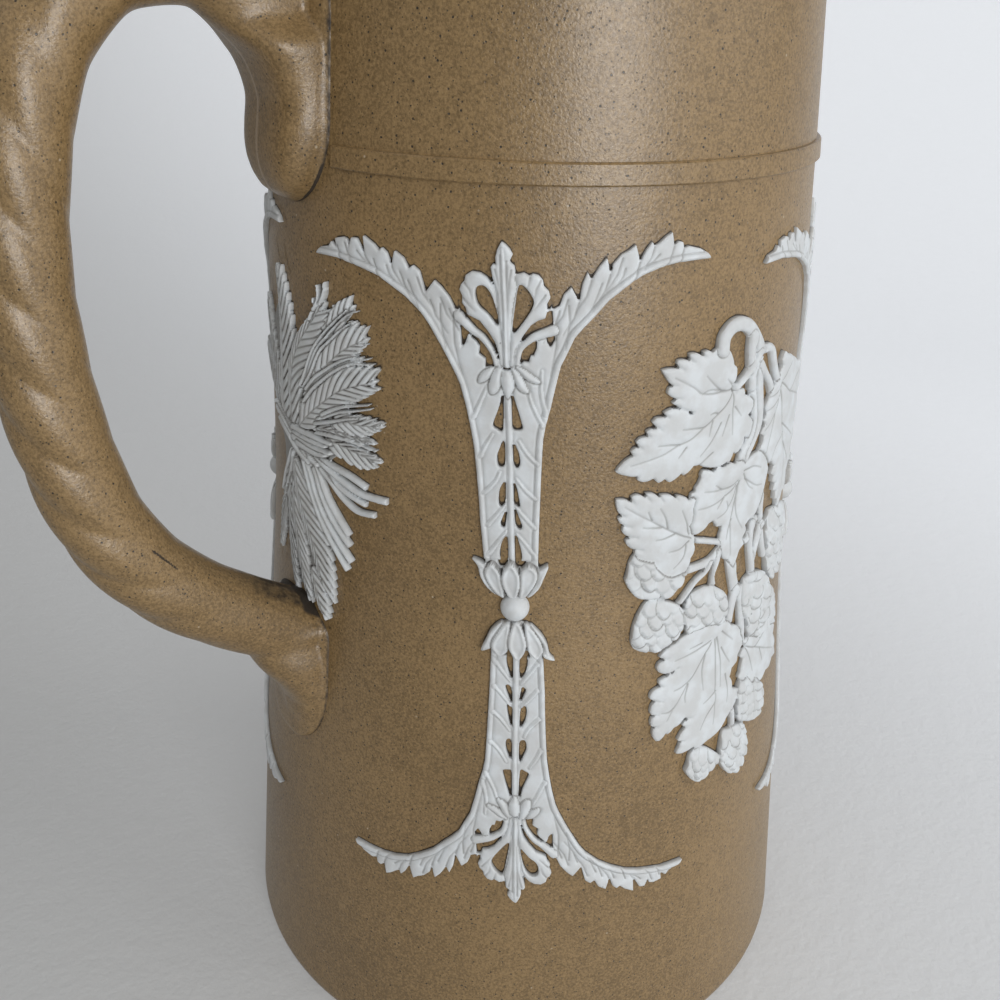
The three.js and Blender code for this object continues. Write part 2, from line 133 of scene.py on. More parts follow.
class Graph:
    """The node graph of one material, with a Principled shader."""

    def __init__(self, name: str) -> None:
        """Starts an empty material of that name."""
        self.material = bpy.data.materials.new(name)
        self.material.use_nodes = True
        self.tree = self.material.node_tree
        self.shader = next(n for n in self.tree.nodes if n.type == "BSDF_PRINCIPLED")

    def node(
        self, kind: str, settings: dict | None = None, values: dict | None = None, out: int | str = 0
    ) -> Link:
        """Adds a node.

        Args:
            kind: The node's type.
            settings: Properties that are set first.
            values: A value or link for each input socket, by name or index.
            out: The output that is read.

        Returns:
            A link to that output.
        """
        made = self.tree.nodes.new(kind)
        for key, value in (settings or {}).items():
            setattr(made, key, value)
        for key, value in (values or {}).items():
            if isinstance(value, Link):
                self.tree.links.new(value.socket, made.inputs[key])
            else:
                made.inputs[key].default_value = value
        return Link(self, made.outputs[out])

    def place(self) -> Link:
        """Object coordinates, in metres."""
        return self.node("ShaderNodeTexCoord", out="Object")

    def noise(self, size: float, detail: float = 2.0, roughness: float = 0.5) -> Link:
        """Noise of about 0.5 on average, with forms of a size in millimetres and finer layers."""
        layers = {"Detail": detail, "Roughness": roughness}
        values = {"Vector": self.place(), "Scale": 1 / (size * MM), **layers}
        return self.node("ShaderNodeTexNoise", {}, values, "Fac")

    def spots(self, spacing: float, radius: float, share: float) -> Link:
        """Round spots scattered in the clay.

        Args:
            spacing: Mean distance between the places where a spot may be, in millimetres.
            radius: Radius of a spot, in millimetres.
            share: Share of those places that hold a spot.

        Returns:
            A mask that is 1 on a spot.
        """
        values = {"Vector": self.place(), "Scale": 1 / (spacing * MM)}
        distance = self.node("ShaderNodeTexVoronoi", {}, values, "Distance")
        cell = self.node("ShaderNodeTexVoronoi", {}, values, "Color")
        chance = self.node("ShaderNodeSeparateColor", {}, {0: cell})
        ragged = distance + (self.noise(radius * 2.2) - 0.5) * (0.9 * radius / spacing)
        within = ragged.step(1.15 * radius / spacing, 0.6 * radius / spacing)
        return within * chance.step(share + 0.02, share)

    def attribute(self, name: str) -> Link:
        """A number kept on the mesh's points."""
        return self.node("ShaderNodeAttribute", {"attribute_name": name}, {}, "Fac")

    def mix(self, share: Link | float, first: Link | Colour, second: Link | Colour) -> Link:
        """Mixes two colours.

        Args:
            share: Share of the second colour.
            first: First colour, as a link or as red, green and blue.
            second: Second colour, likewise.

        Returns:
            The mixed colour.
        """
        first, second = (c if isinstance(c, Link) else (*c, 1.0) for c in (first, second))
        return self.node("ShaderNodeMix", {"data_type": "RGBA"}, {0: share, 6: first, 7: second}, 2)

    def feed(self, **sockets: Link | float) -> None:
        """Sets or links the shader's sockets, whose names are written with underscores."""
        for name, value in sockets.items():
            socket = self.shader.inputs[name.replace("_", " ")]
            if isinstance(value, Link):
                self.tree.links.new(value.socket, socket)
            else:
                socket.default_value = value

    def bump(self, height: Link, strength: float, depth: float) -> Link:
        """A Bump node's normal from a height, its depth in millimetres."""
        values = {"Height": height, "Strength": strength, "Distance": depth * MM}
        return self.node("ShaderNodeBump", {}, values)


@dataclass(frozen=True)
class TanClay:
    """Tan stoneware under a thin smear of glaze, with dark specks, pale spots painted as the glaze's
    glints, and soiling and painted shade in its corners.
    """

    name: str = "tan_clay"
    pale: Colour = (0.342, 0.225, 0.101)
    deep: Colour = (0.178, 0.113, 0.046)
    worn: Colour = (0.47, 0.36, 0.25)
    speck: Colour = (0.026, 0.019, 0.012)
    painted_glint: Colour = (0.62, 0.54, 0.42)
    dirt_and_shade_colour: Colour = (0.018, 0.012, 0.008)
    fine_specks: Spots = (0.75, 0.13, 0.7)
    coarse_specks: Spots = (1.35, 0.19, 0.6)
    painted_glints: Spots = (3.2, 0.2, 0.2)

    def made(self) -> Material:
        """Builds the material.

        Returns:
            The material.
        """
        g = Graph(self.name)
        cloud = g.noise(46, 3) * 0.25 + g.noise(2.4, 3, 0.6) * 0.17 + g.noise(0.48, 2, 0.65) * 0.58
        colour = g.mix(cloud.step(0.36, 0.64), self.deep, self.pale)
        fine = g.spots(*self.fine_specks)
        coarse = g.spots(*self.coarse_specks)
        # Lighter along the tongues' crest: a worn mould seam with a painted ridge highlight.
        colour = g.mix(g.attribute(SEAM_AND_SHEEN) * 0.8, colour, self.worn)
        colour = g.mix(fine * 0.8, colour, self.speck)
        colour = g.mix(coarse * (g.noise(3, 1) * 0.6 + 0.65), colour, self.speck)
        # Pale spots painted as glints of the glaze.
        colour = g.mix(g.spots(*self.painted_glints) * 0.6, colour, self.painted_glint)
        # Soiling and painted shade: along the tongues' contact with the body, in the handle's corners and
        # round the sprigs.
        dirt_and_shade = (g.attribute(DIRT_AND_SHADE) * 1.25 + (g.noise(1.6, 3) - 0.5) * 0.7).step(0.3, 0.75)
        colour = g.mix(dirt_and_shade * 0.93, colour, self.dirt_and_shade_colour)
        peel = g.noise(0.42, 2, 0.6) - coarse * 0.4 - fine * 0.2
        g.feed(
            Base_Color=colour,
            Roughness=(g.noise(0.5, 2) * 0.26 + 0.27).larger(dirt_and_shade * 0.8),
            Coat_Weight=0.12,
            Coat_Roughness=0.28,
            Normal=g.bump(peel, 0.9, 0.1),
        )
        return g.material


@dataclass(frozen=True)
class WhiteClay:
    """White clay of the sprigs, matt, with soiling and painted shade in its cut lines and hollows."""

    name: str = "white_clay"
    pale: Colour = (0.765, 0.805, 0.835)
    worn: Colour = (0.67, 0.69, 0.70)
    shade: Colour = (0.24, 0.235, 0.225)
    dirt_and_shade_colour: Colour = (0.03, 0.025, 0.02)
    soot: Spots = (4.2, 0.2, 0.28)

    def made(self) -> Material:
        """Builds the material.

        Returns:
            The material.
        """
        g = Graph(self.name)
        dirt_and_shade = g.attribute(DIRT_AND_SHADE)
        colour = g.mix(g.noise(3.2, 3).step(0.35, 0.7), self.worn, self.pale)
        # Soiling and painted shade from the point value: grey in lines and hollows, near black where
        # heaviest.
        colour = g.mix(dirt_and_shade.step(0.05, 0.75) * 0.8, colour, self.shade)
        heavy_dirt_and_shade = (dirt_and_shade + (g.noise(1.4, 3) - 0.5) * 0.9).step(0.72, 1.02)
        colour = g.mix(heavy_dirt_and_shade, colour, self.dirt_and_shade_colour)
        colour = g.mix(g.spots(*self.soot) * 0.45, colour, self.dirt_and_shade_colour)
        g.feed(
            Base_Color=colour,
            Roughness=g.noise(0.7, 2) * 0.2 + 0.52,
            Normal=g.bump(g.noise(0.5, 2) + g.noise(2.2, 1) * 0.8, 0.35, 0.06),
        )
        return g.material


@dataclass(frozen=True)
class PaperSweep:
    """The pale ground, lightly textured, with painted light that makes it paler to the right, and a glow
    that lights nothing.

    turn is where it starts and ends to get paler, in metres along X.
    """

    name: str = "paper_sweep"
    near: Colour = (0.49, 0.495, 0.49)
    far: Colour = (0.79, 0.815, 0.85)
    dim: Colour = (0.112, 0.112, 0.112)
    bright: Colour = (0.325, 0.335, 0.35)
    turn: Pair = (-0.2, 0.38)

    def made(self) -> Material:
        """Builds the material.

        Returns:
            The material.
        """
        g = Graph(self.name)
        tooth = g.noise(1.4, 3) * 0.6 + g.noise(5, 2)
        # Painted light: the ground's colour is paler to the right, towards the windows.
        away = g.node("ShaderNodeSeparateXYZ", {}, {0: g.place()}, 0).step(*self.turn)
        rays = [g.node("ShaderNodeLightPath", out=f"Is {ray} Ray") for ray in ("Camera", "Glossy")]
        glow = g.mix(rays[0] + rays[1], (0.0, 0.0, 0.0), g.mix(away, self.dim, self.bright))
        g.feed(
            Base_Color=g.mix(away, self.near, self.far),
            Emission_Color=glow,
            Emission_Strength=1.0,
            Roughness=0.8,
            Normal=g.bump(tooth, 0.5, 0.5),
        )
        return g.material


# Meshes


def deselected() -> None:
    """Deselects everything, so that an operator acts only on what follows."""
    if bpy.context.object and bpy.context.object.mode != "OBJECT":
        bpy.ops.object.mode_set(mode="OBJECT")
    bpy.ops.object.select_all(action="DESELECT")


def chosen(*pieces: Piece) -> Piece:
    """Selects only these pieces and makes the first the active one, which it returns."""
    deselected()
    for piece in pieces:
        piece.select_set(True)
    bpy.context.view_layer.objects.active = pieces[0]
    return pieces[0]


def edited(piece: Piece, *operators: Callable[[], object]) -> None:
    """Runs mesh operators in edit mode, each on all of the piece's mesh."""
    chosen(piece)
    bpy.ops.object.mode_set(mode="EDIT")
    for operator in operators:
        bpy.ops.mesh.select_all(action="SELECT")
        operator()
    bpy.ops.object.mode_set(mode="OBJECT")


def modified(piece: Piece, kind: str, **settings: object) -> None:
    """Adds a modifier with these settings to the active piece and applies it."""
    modifier = piece.modifiers.new(kind.lower(), kind)
    for key, value in settings.items():
        setattr(modifier, key, value)
    bpy.ops.object.modifier_apply(modifier=modifier.name)


def linked(name: str, data: bpy.types.ID) -> Piece:
    """A new object of the scene that shows the data."""
    made = bpy.data.objects.new(name, data)
    bpy.context.scene.collection.objects.link(made)
    return made


def meshed(name: str, points: Array, faces: Iterable[Sequence[int]]) -> Piece:
    """An object from points and faces.

    Args:
        name: The object's name.
        points: Points in millimetres, one a row.
        faces: Corner indices of each face.

    Returns:
        The object, in metres and at the origin, smooth shaded.
    """
    faces = np.asarray(faces)
    mesh = bpy.data.meshes.new(name)
    mesh.vertices.add(len(points))
    mesh.vertices.foreach_set("co", (np.asarray(points, float) * MM).astype(np.float32).ravel())
    mesh.loops.add(faces.size)
    mesh.loops.foreach_set("vertex_index", faces.astype(np.int32).ravel())
    mesh.polygons.add(len(faces))
    mesh.polygons.foreach_set("loop_start", np.arange(0, faces.size, faces.shape[1], dtype=np.int32))
    mesh.update(calc_edges=True)
    mesh.validate()
    mesh.shade_smooth()
    return linked(name, mesh)


def tagged(piece: Piece, values: Array, name: str = DIRT_AND_SHADE) -> None:
    """Keeps a value on each point of a piece, by name."""
    attribute = piece.data.attributes.new(name, "FLOAT", "POINT")
    attribute.data.foreach_set("value", np.clip(values, 0, 1).astype(np.float32))


def points_of(piece: Piece) -> Array:
    """The piece's points, in millimetres."""
    found = np.empty(len(piece.data.vertices) * 3, np.float32)
    piece.data.vertices.foreach_get("co", found)
    return found.reshape(-1, 3).astype(float) / MM


def moved_to(piece: Piece, points: Array) -> None:
    """Puts the piece's points at new places, in millimetres."""
    piece.data.vertices.foreach_set("co", (points * MM).astype(np.float32).ravel())
    piece.data.update()


def kept(piece: Piece, slot: Slot, finish: Material, *nodes: str) -> None:
    """Dresses a finished piece and fixes it to the pitcher.

    Args:
        piece: The piece.
        slot: The record's slot of its finish. Not used.
        finish: Its material.
        nodes: The CAD nodes that it stands for.
    """
    piece.data.materials.clear()
    piece.data.materials.append(finish)
    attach(piece, "root")
    if nodes:
        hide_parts(*nodes)
    log.info("%s: %d faces", piece.name, len(piece.data.polygons))


def smoothed(points: Line, closed: bool, parts: int = 5) -> list[Pair]:
    """A smooth line through points, as a Catmull-Rom curve.

    Args:
        points: Points that the line passes.
        closed: Whether it returns to its start.
        parts: Straight parts between two points.

    Returns:
        Points along the line.
    """
    p = np.asarray(points, float)
    n = len(p)
    spans = range(n if closed else n - 1)
    at = (lambda i: p[i % n]) if closed else (lambda i: p[min(max(i, 0), n - 1)])
    line = []
    for i in spans:
        a, b, c, d = at(i - 1), at(i), at(i + 1), at(i + 2)
        for t in np.arange(parts) / parts:
            square, cube = 2 * a - 5 * b + 4 * c - d, 3 * b - a - 3 * c + d
            line.append(0.5 * (2 * b + (c - a) * t + square * t**2 + cube * t**3))
    if not closed:
        line.append(p[-1])
    return [tuple(q) for q in line]


def step(value: Array | float, low: float, high: float) -> Array:
    """A smooth step from 0 at low to 1 at high."""
    t = np.clip((np.asarray(value, float) - low) / (high - low), 0, 1)
    return t * t * (3 - 2 * t)


def plateau(value: Array, start: float, full: float, fading: float, end: float) -> Array:
    """1 from full to fading, with a smooth step down to 0 at start and at end."""
    return step(value, start, full) * step(value, end, fading)


def bell(value: Array, width: float) -> Array:
    """A bell curve: 1 where the value is 0, and about a third one width away."""
    return np.exp(-((value / width) ** 2))


@dataclass(frozen=True)
class BodyForm:
    """Outer form of the thrown body, which all that is laid on it follows."""

    stations: Points = (
        (0, 59.8), (50, 55.4), (100, 50.4), (150, 48.2), (189.8, 45.4), (215.8, 43.2),
    )
    wall: float = 4.6
    floor: float = 7.0
    chamfer: float = 1.2
    lip_reach: float = 14.0
    lip_rise: float = 4.0
    lip_half_angle: float = 34.0
    lip_depth: float = 28.0

    @property
    def rim(self) -> float:
        """Height of the rim away from the lip."""
        return self.stations[-1][0]

    def radius(self, z: Array | float) -> Array:
        """Outer radius at a height: a smooth curve through the stations.

        Args:
            z: Heights.

        Returns:
            The radius at each.
        """
        heights, radii = np.array(self.stations).T
        ends = np.r_[heights[0], heights, heights[-1]], np.r_[radii[0], radii, radii[-1]]
        slopes = (ends[1][2:] - ends[1][:-2]) / (ends[0][2:] - ends[0][:-2])
        z = np.clip(np.asarray(z, float), heights[0], heights[-1])
        i = np.clip(np.searchsorted(heights, z, side="right") - 1, 0, len(heights) - 2)
        span = heights[i + 1] - heights[i]
        t = (z - heights[i]) / span
        first = radii[i] * (2 * t**3 - 3 * t**2 + 1) + slopes[i] * span * (t**3 - 2 * t**2 + t)
        return first + radii[i + 1] * (3 * t**2 - 2 * t**3) + slopes[i + 1] * span * (t**3 - t**2)

    def on(self, angle: Array | float, u: Array, z: Array, lift: Array | float) -> Array:
        """Points laid on the body.

        Args:
            angle: Angle of the piece's middle.
            u: Distance round the body from there.
            z: Height.
            lift: Distance out from the surface.

        Returns:
            The points, one a row.
        """
        surface = self.radius(z)
        turn = np.radians(angle) + u / surface
        reach = surface + lift
        return np.stack([reach * np.cos(turn), reach * np.sin(turn), z + 0 * reach], -1)

    def lipped(self, points: Array) -> Array:
        """Pulls the lip out of turned points.

        Args:
            points: Points of the plain turned body, one a row.

        Returns:
            The points with the lip.
        """
        away = np.abs(np.degrees(np.arctan2(points[:, 1], points[:, 0]))) / self.lip_half_angle
        climb = np.clip((points[:, 2] - self.rim + self.lip_depth) / self.lip_depth, 0, 1)
        share = np.where(away < 1, 0.5 + 0.5 * np.cos(np.pi * np.minimum(away, 1)), 0) * climb**2
        reach = np.maximum(np.hypot(points[:, 0], points[:, 1]), 1)
        grown = points * np.array([1.0, 1.0, 0.0]) * (1 + self.lip_reach * share / reach)[:, None]
        grown[:, 2] = points[:, 2] + self.lip_rise * share
        return grown


FORM = BodyForm()


def spun(name: str, profile: Line, start: float, sweep: float, steps: int) -> Piece:
    """A piece turned about the body's axis.

    Args:
        name: The piece's name.
        profile: Its closed or axis-to-axis profile as radius and height pairs.
        start: Angle where the turn starts.
        sweep: Angle that it covers.
        steps: Steps of the turn.

    Returns:
        The piece.
    """
    mesh = bpy.data.meshes.new(name)
    turn = math.radians(start)
    points = [Vector((r * math.cos(turn), r * math.sin(turn), z)) * MM for r, z in profile]
    mesh.from_pydata(points, [(i, i + 1) for i in range(len(points) - 1)], [])
    piece = linked(name, mesh)
    edited(
        piece,
        lambda: bpy.ops.mesh.spin(steps=steps, angle=math.radians(sweep), center=(0, 0, 0), axis=(0, 0, 1)),
        lambda: bpy.ops.mesh.remove_doubles(threshold=1e-6),
        lambda: bpy.ops.mesh.normals_make_consistent(inside=False),
        bpy.ops.mesh.faces_shade_smooth,
    )
    return piece


@dataclass
class Vessel:
    """The body with its wall, floor, rim and lip, and the girth band round its shoulder.

    foot is the profile of the underside, and floor_corner how far in from the wall and up from the floor
    the inner corner's points lie. band_stop is the distance from the handle's middle to an end of the band.
    """

    form: BodyForm = FORM
    foot: Points = ((0.0, 0.6), (50.0, 0.6), (51.5, 0.0), (58.2, 0.0), (59.0, 0.25), (59.5, 0.9))
    floor_corner: Points = ((0.6, 3.0), (2.6, 1.0), (6.0, 0.0))
    ring_step: float = 1.6
    turns: int = 220
    band_low: float = 163.8
    band_width: float = 3.2
    band_proud: float = 0.75
    band_round: float = 0.25
    band_stop: float = 11.6
    band_angle: float = 179.3

    def profile(self) -> list[Pair]:
        """Outer wall, rounded rim, inner wall and floor, from axis to axis."""
        f = self.form
        top = f.rim - f.wall / 2
        heights = np.linspace(f.chamfer * 1.6, top, round(top / self.ring_step))
        outer = [(float(f.radius(z)), float(z)) for z in heights]
        middle = float(f.radius(f.rim)) - f.wall / 2
        turn = np.radians(np.arange(15, 180, 15))
        rim = [(middle + f.wall / 2 * math.cos(a), top + f.wall / 2 * math.sin(a)) for a in turn]
        inner = [(float(f.radius(z)) - f.wall, float(z)) for z in np.linspace(top, f.floor + 6, 70)]
        corner = float(f.radius(f.floor)) - f.wall
        floor = [(corner - inward, f.floor + up) for inward, up in self.floor_corner]
        return [*self.foot, *outer, *rim, *inner, *floor, (0.0, f.floor)]

    def build(self, clay: Material) -> None:
        """Builds the body and its band.

        Args:
            clay: The tan clay.
        """
        body = spun("pitcher_body", self.profile(), 0, 360, self.turns)
        moved_to(body, self.form.lipped(points_of(body)))
        kept(body, Slot.CLAY, clay, "body")
        low, high = self.band_low, self.band_low + self.band_width
        lower, upper = float(self.form.radius(low)), float(self.form.radius(high))
        proud, edge = self.band_proud, self.band_round
        section = [
            (lower - 0.5, low), (lower + 0.15, low - 0.02),
            (lower + proud - edge, low), (lower + proud, low + edge),
            (upper + proud, high - edge), (upper + proud - edge, high),
            (upper + 0.1, high + 0.02), (upper - 0.5, high),
        ]
        stop = math.degrees(self.band_stop / lower)
        band = spun("shoulder_band", section, self.band_angle - stop, 360 - 2 * stop, self.turns)
        chosen(band)
        bpy.ops.object.shade_smooth_by_angle(angle=math.radians(35))
        kept(band, Slot.BAND, clay, "girth_band")


@dataclass(frozen=True)
class Tongue:
    """A tongue pressed on the body under a rope's end.

    crest is its height off the body along its middle, as pairs of z and height. shift is the middle's place
    to the side, flange the height of its thin edge, rounding the share of its length over which its end
    rounds off, squareness how full its back is, and hollow how far the left of its ridge dips.
    """

    name: str
    root: float
    low: float
    crest: Points
    half_width: float
    shift: float
    flange: float
    rounding: float
    squareness: float
    hollow: float = 0.0

    def section(self, t: Array, z: Array) -> Array:
        """Height of the back over the flange, full towards both edges, or hollow on the left of its ridge.

        Args:
            t: Place across, from -1 to 1.
            z: Heights.

        Returns:
            The height at each place.
        """
        heights, lifts = np.array(self.crest).T
        back = np.maximum(np.interp(z, heights, lifts) - self.flange, 0)
        ridge = -self.shift / self.half_width
        off = np.where(t > ridge, (t - ridge) / (0.92 - ridge), (ridge - t) / (0.92 + ridge))
        off = np.minimum(off / (1 - 0.36 * step(back, 8, 14)), 1)
        full = (1 - off ** (2.2 + (self.squareness - 2.2) * step(back, 12, 7))) ** 0.62
        sharp = (1 - off) ** 1.5
        share = self.hollow * step(ridge - t, 0, 0.12) * step(back, 0.3, 1.8)
        return back * (full * (1 - share) + sharp * share)


@dataclass
class RopeHandle:
    """The handle: a rope of four twisted strands that ends in a tongue at each end.

    bow gives places down the rope, as shares of the standoff and of the height from the grip up to the
    crown, or where below 0 down to the root. top_end and low_end are distances from the wall and from the
    crown or root. rubbed is the share of the relief left on the body's side. A corner has the heights where
    its smoothing starts, is full, starts to fade and ends. low_seam_and_sheen is where the light line of
    the mould seam, with its painted ridge highlight, shows on the lower tongue. Each scratch has its two
    ends, as reach, side and z, and its width.
    """

    form: BodyForm = FORM
    angle: float = 180.0
    lean: float = -0.036
    strands: int = 4
    lead: float = 46.0
    relief: float = 0.75
    thickness: float = 6.37
    crown: float = 191.8
    root: float = 84.05
    grip: float = 144.0
    standoff: float = 40.9
    above: float = 8.0
    voxel: float = 0.4
    around: int = 120
    along: int = 420
    top_end: Points = ((-3, -1.2), (9, 0))
    bow: Points = (
        (0.51, 0.99), (0.65, 0.93), (0.785, 0.81), (0.873, 0.665), (0.946, 0.455), (0.99, 0.23), (1, 0),
        (0.976, -0.233), (0.902, -0.483), (0.785, -0.658), (0.601, -0.808),
    )
    low_end: Points = ((11.3, 3.9), (0, -2.85), (-3, -4.4))
    rubbed: float = 0.3
    upper_corner: tuple[float, ...] = (168, 176, 187, 195)
    lower_corner: tuple[float, ...] = (75, 80, 90, 98)
    low_seam_and_sheen: Pair = (68.5, 79.5)
    edge_shade: float = 0.5
    smear_dirt: float = 0.46
    corner_darkening: float = 0.8
    scratch_dirt: float = 0.8
    scratches: tuple[tuple[tuple[float, ...], tuple[float, ...], float], ...] = (
        ((79.2, 6.4, 107.7), (75.8, 6.2, 103.5), 0.3), ((73.3, 6, 101.2), (72.8, 6, 100.5), 0.3),
        ((67.4, 5.4, 96.6), (66.1, 5.4, 95.7), 0.28), ((68, 6, 96.1), (67.3, 6, 95.5), 0.22),
        ((86.3, 6.9, 122.1), (86.1, 6.9, 121.2), 0.25),
    )
    upper: Tongue = Tongue(
        "upper_tongue", root=191.8, low=157.3, half_width=10.9, shift=0.0, flange=1.1, rounding=0.31,
        squareness=5.0, crest=(
            (157.3, 1.4), (158.4, 4.2), (159.6, 5.4), (161.6, 6), (163.8, 6.2), (166, 6.1), (168.4, 5.8),
            (170.4, 5.6), (172.6, 5.4), (175.4, 6.3), (178.2, 7.6), (180.3, 9.5), (182.1, 11.7),
            (184.2, 14.4), (186, 17), (188, 17.5), (199.8, 2),
        ),
    )
    lower: Tongue = Tongue(
        "lower_tongue", root=80.0, low=58.0, half_width=10.9, shift=-2.4, flange=1.5, rounding=0.45,
        squareness=2.8, hollow=0.9, crest=(
            (58, 2.0), (60, 2.3), (64, 2.6), (68.5, 3.5), (70.6, 4.6), (72.7, 6.1), (76.3, 9), (79, 10.8),
            (82, 12), (85, 9), (88, 2),
        ),
    )

    def angle_at(self, z: Array | float) -> Array | float:
        """Angle of the handle's mid-plane, which leans a little."""
        return self.angle + self.lean * (z - self.grip)

    def centre_line(self) -> Array:
        """Centre line as reach from the axis and height, evenly spaced."""
        high, low, base = (float(self.form.radius(z)) for z in (self.crown, self.root, self.grip))
        line = [(high + out, self.crown + up) for out, up in self.top_end]
        for out, share in self.bow:
            span = self.crown - self.grip if share > 0 else self.grip - self.root
            line.append((base + self.standoff * out, self.grip + share * span))
        line += [(low + out, self.root + up) for out, up in self.low_end]
        p = np.array(smoothed(line, False, 12))
        run = np.r_[0, np.cumsum(np.hypot(*np.diff(p, axis=0).T))]
        even = np.linspace(0, run[-1], self.along)
        return np.stack([np.interp(even, run, p[:, 0]), np.interp(even, run, p[:, 1]), even], -1)

    def placed(self, reach: Array, side: Array, z: Array) -> Array:
        """Points from their reach, their distance to the side of the mid-plane and their height."""
        turn = np.radians(self.angle_at(z))
        x = reach * np.cos(turn) - side * np.sin(turn)
        y = reach * np.sin(turn) + side * np.cos(turn)
        return np.stack([x, y, z], -1)

    def rope(self) -> Piece:
        """The twisted rope: round-backed strands with creases between, nearly smooth on the body's side."""
        line = self.centre_line()
        along = np.gradient(line[:, :2], axis=0)
        along /= np.hypot(along[:, 0], along[:, 1])[:, None]
        length = line[-1, 2]
        share = line[:, 2] / length
        a = np.arange(self.around) / self.around * 2 * np.pi
        fade = np.clip(np.minimum(share * 9 - 0.6, (1 - share) * 4.2 - 0.2), 0, 1)[:, None]
        phase = (a[None, :] / (2 * np.pi) + line[:, 2:3] / self.lead) * self.strands
        bulge = np.abs(np.sin(np.pi * phase)) ** 0.8
        relief = self.relief * fade * (self.rubbed + (1 - self.rubbed) * step(-np.cos(a), -0.6, 0.35))
        r = self.thickness + relief * bulge + (self.relief - relief) * 0.62
        reach = line[:, 0:1] + along[:, 1:2] * np.cos(a) * r
        z = line[:, 1:2] - along[:, 0:1] * np.cos(a) * r
        return lofted("rope", self.placed(reach, np.sin(a) * r, z))

    def tongue(self, shape: Tongue) -> Piece:
        """A tongue that hangs from a rope's end, with a thin flange round a domed back.

        Args:
            shape: Its sizes.

        Returns:
            The tongue.
        """
        high = shape.root + self.above
        share = 0.5 - 0.5 * np.cos(np.pi * np.linspace(0, 1, 90))
        z = (shape.low + share * (high - shape.low))[:, None]
        from_end = np.minimum(np.minimum(share / shape.rounding, (1 - share) / 0.2), 1)[:, None]
        rounded = np.sqrt(np.maximum(0.004, 1 - (1 - from_end) ** 2))
        t = np.sin(np.linspace(-np.pi / 2, np.pi / 2, 91))[None, :]
        u = shape.shift + t * shape.half_width * rounded
        heights = z + 0 * u
        flange = shape.flange * np.minimum(1, rounded * 1.8) * (1 - t**8)
        lift = flange + shape.section(t, heights) * rounded**0.7
        front = self.form.on(self.angle_at(heights), u, heights, lift)
        back = self.form.on(self.angle_at(heights), u, heights, -1.2)
        return lofted(shape.name, np.concatenate([back, front[:, ::-1]], 1))

    def stained(self, points: Array) -> tuple[Array, Array]:
        """Soiling with painted shade, and the worn mould seam with its painted ridge highlight, on the
        handle.

        Args:
            points: The handle's points, one a row.

        Returns:
            Soiling with painted shade, and the seam line with its painted highlight, from 0 to 1 at each
            point.
        """
        reach, z = np.hypot(points[:, 0], points[:, 1]), points[:, 2]
        lift = reach - self.form.radius(z)
        turn = np.degrees(np.arctan2(points[:, 1], points[:, 0])) % 360
        side = np.radians(turn - self.angle_at(z)) * reach
        tip = step(z, self.upper.low + 8, self.upper.low + 4) * (z > self.grip)
        # A painted shadow along the tongues' edge where they meet the body, stronger towards the upper
        # tongue's tip, which is soiled as well.
        edge = step(lift, 0.75, 0.15) * (self.edge_shade + (1 - self.edge_shade) * tip)
        line = self.centre_line()
        line = line[line[:, 1] < self.grip]
        over = z - np.interp(reach, line[::-1, 0], line[::-1, 1])
        smear = self.smear_dirt * step(over, 3.9, 6.8) * step(lift, 21, 7)
        # Darker in the crook where the top of the lower rope meets the body.
        corner = self.corner_darkening * step(over, 3.2, 5.8) * step(lift, 4.5, 1.2)
        dirt_and_shade = np.maximum(edge, np.maximum(smear, corner) * (z < self.grip - 30))
        for start, end, width in self.scratches:
            a, b = np.array(start), np.array(end)
            here = np.stack([reach, side, z], -1) - a
            t = np.clip(here @ (b - a) / ((b - a) @ (b - a)), 0, 1)
            near = np.linalg.norm((here - t[:, None] * (b - a)) * (1, 0.5, 1), axis=1)
            dirt_and_shade = np.maximum(dirt_and_shade, self.scratch_dirt * step(near, 1.2 * width, 0.3 * width))
        # The light line along the tongues' crest: a worn mould seam with a painted highlight of the ridge.
        low, high = self.low_seam_and_sheen
        ridge = ((z < self.crown - 5) & (z > self.upper.low + 1)) | ((z > low) & (z < high))
        seam = np.where(ridge & (lift > 0.8) & (lift < 20), step(np.abs(side), 0.5, 0.1), 0)
        return dirt_and_shade, seam

    def eased(self, handle: Piece) -> None:
        """Smooths the corners between the rope and its tongues, as a thumb does.

        Args:
            handle: The joined handle.
        """
        points = points_of(handle)
        z = points[:, 2]
        lift = np.hypot(points[:, 0], points[:, 1]) - self.form.radius(z)
        upper = plateau(z, *self.upper_corner) * step(lift, 1.6, 3.4)
        lower = plateau(z, *self.lower_corner) * step(lift, 1.4, 3)
        share = np.round(np.maximum(upper, lower) * 5).astype(int)
        group = handle.vertex_groups.new(name="corner")
        for level in range(1, 6):
            group.add(np.flatnonzero(share == level).tolist(), level / 5, "REPLACE")
        modified(handle, "SMOOTH", vertex_group="corner", factor=0.6, iterations=45)

    def build(self, clay: Material) -> None:
        """Builds the handle as one smooth piece.

        Args:
            clay: The tan clay.
        """
        handle = chosen(self.rope(), self.tongue(self.upper), self.tongue(self.lower))
        bpy.ops.object.join()
        handle.name = handle.data.name = "rope_handle"
        modified(handle, "REMESH", mode="VOXEL", voxel_size=self.voxel * MM)
        modified(handle, "SMOOTH", factor=0.5, iterations=3)
        self.eased(handle)
        handle.data.shade_smooth()
        # Soiling with painted shade, and the seam's light line with its painted ridge highlight.
        dirt_and_shade, seam = self.stained(points_of(handle))
        tagged(handle, dirt_and_shade)
        tagged(handle, seam, SEAM_AND_SHEEN)
        kept(handle, Slot.CLAY, clay, "handle")


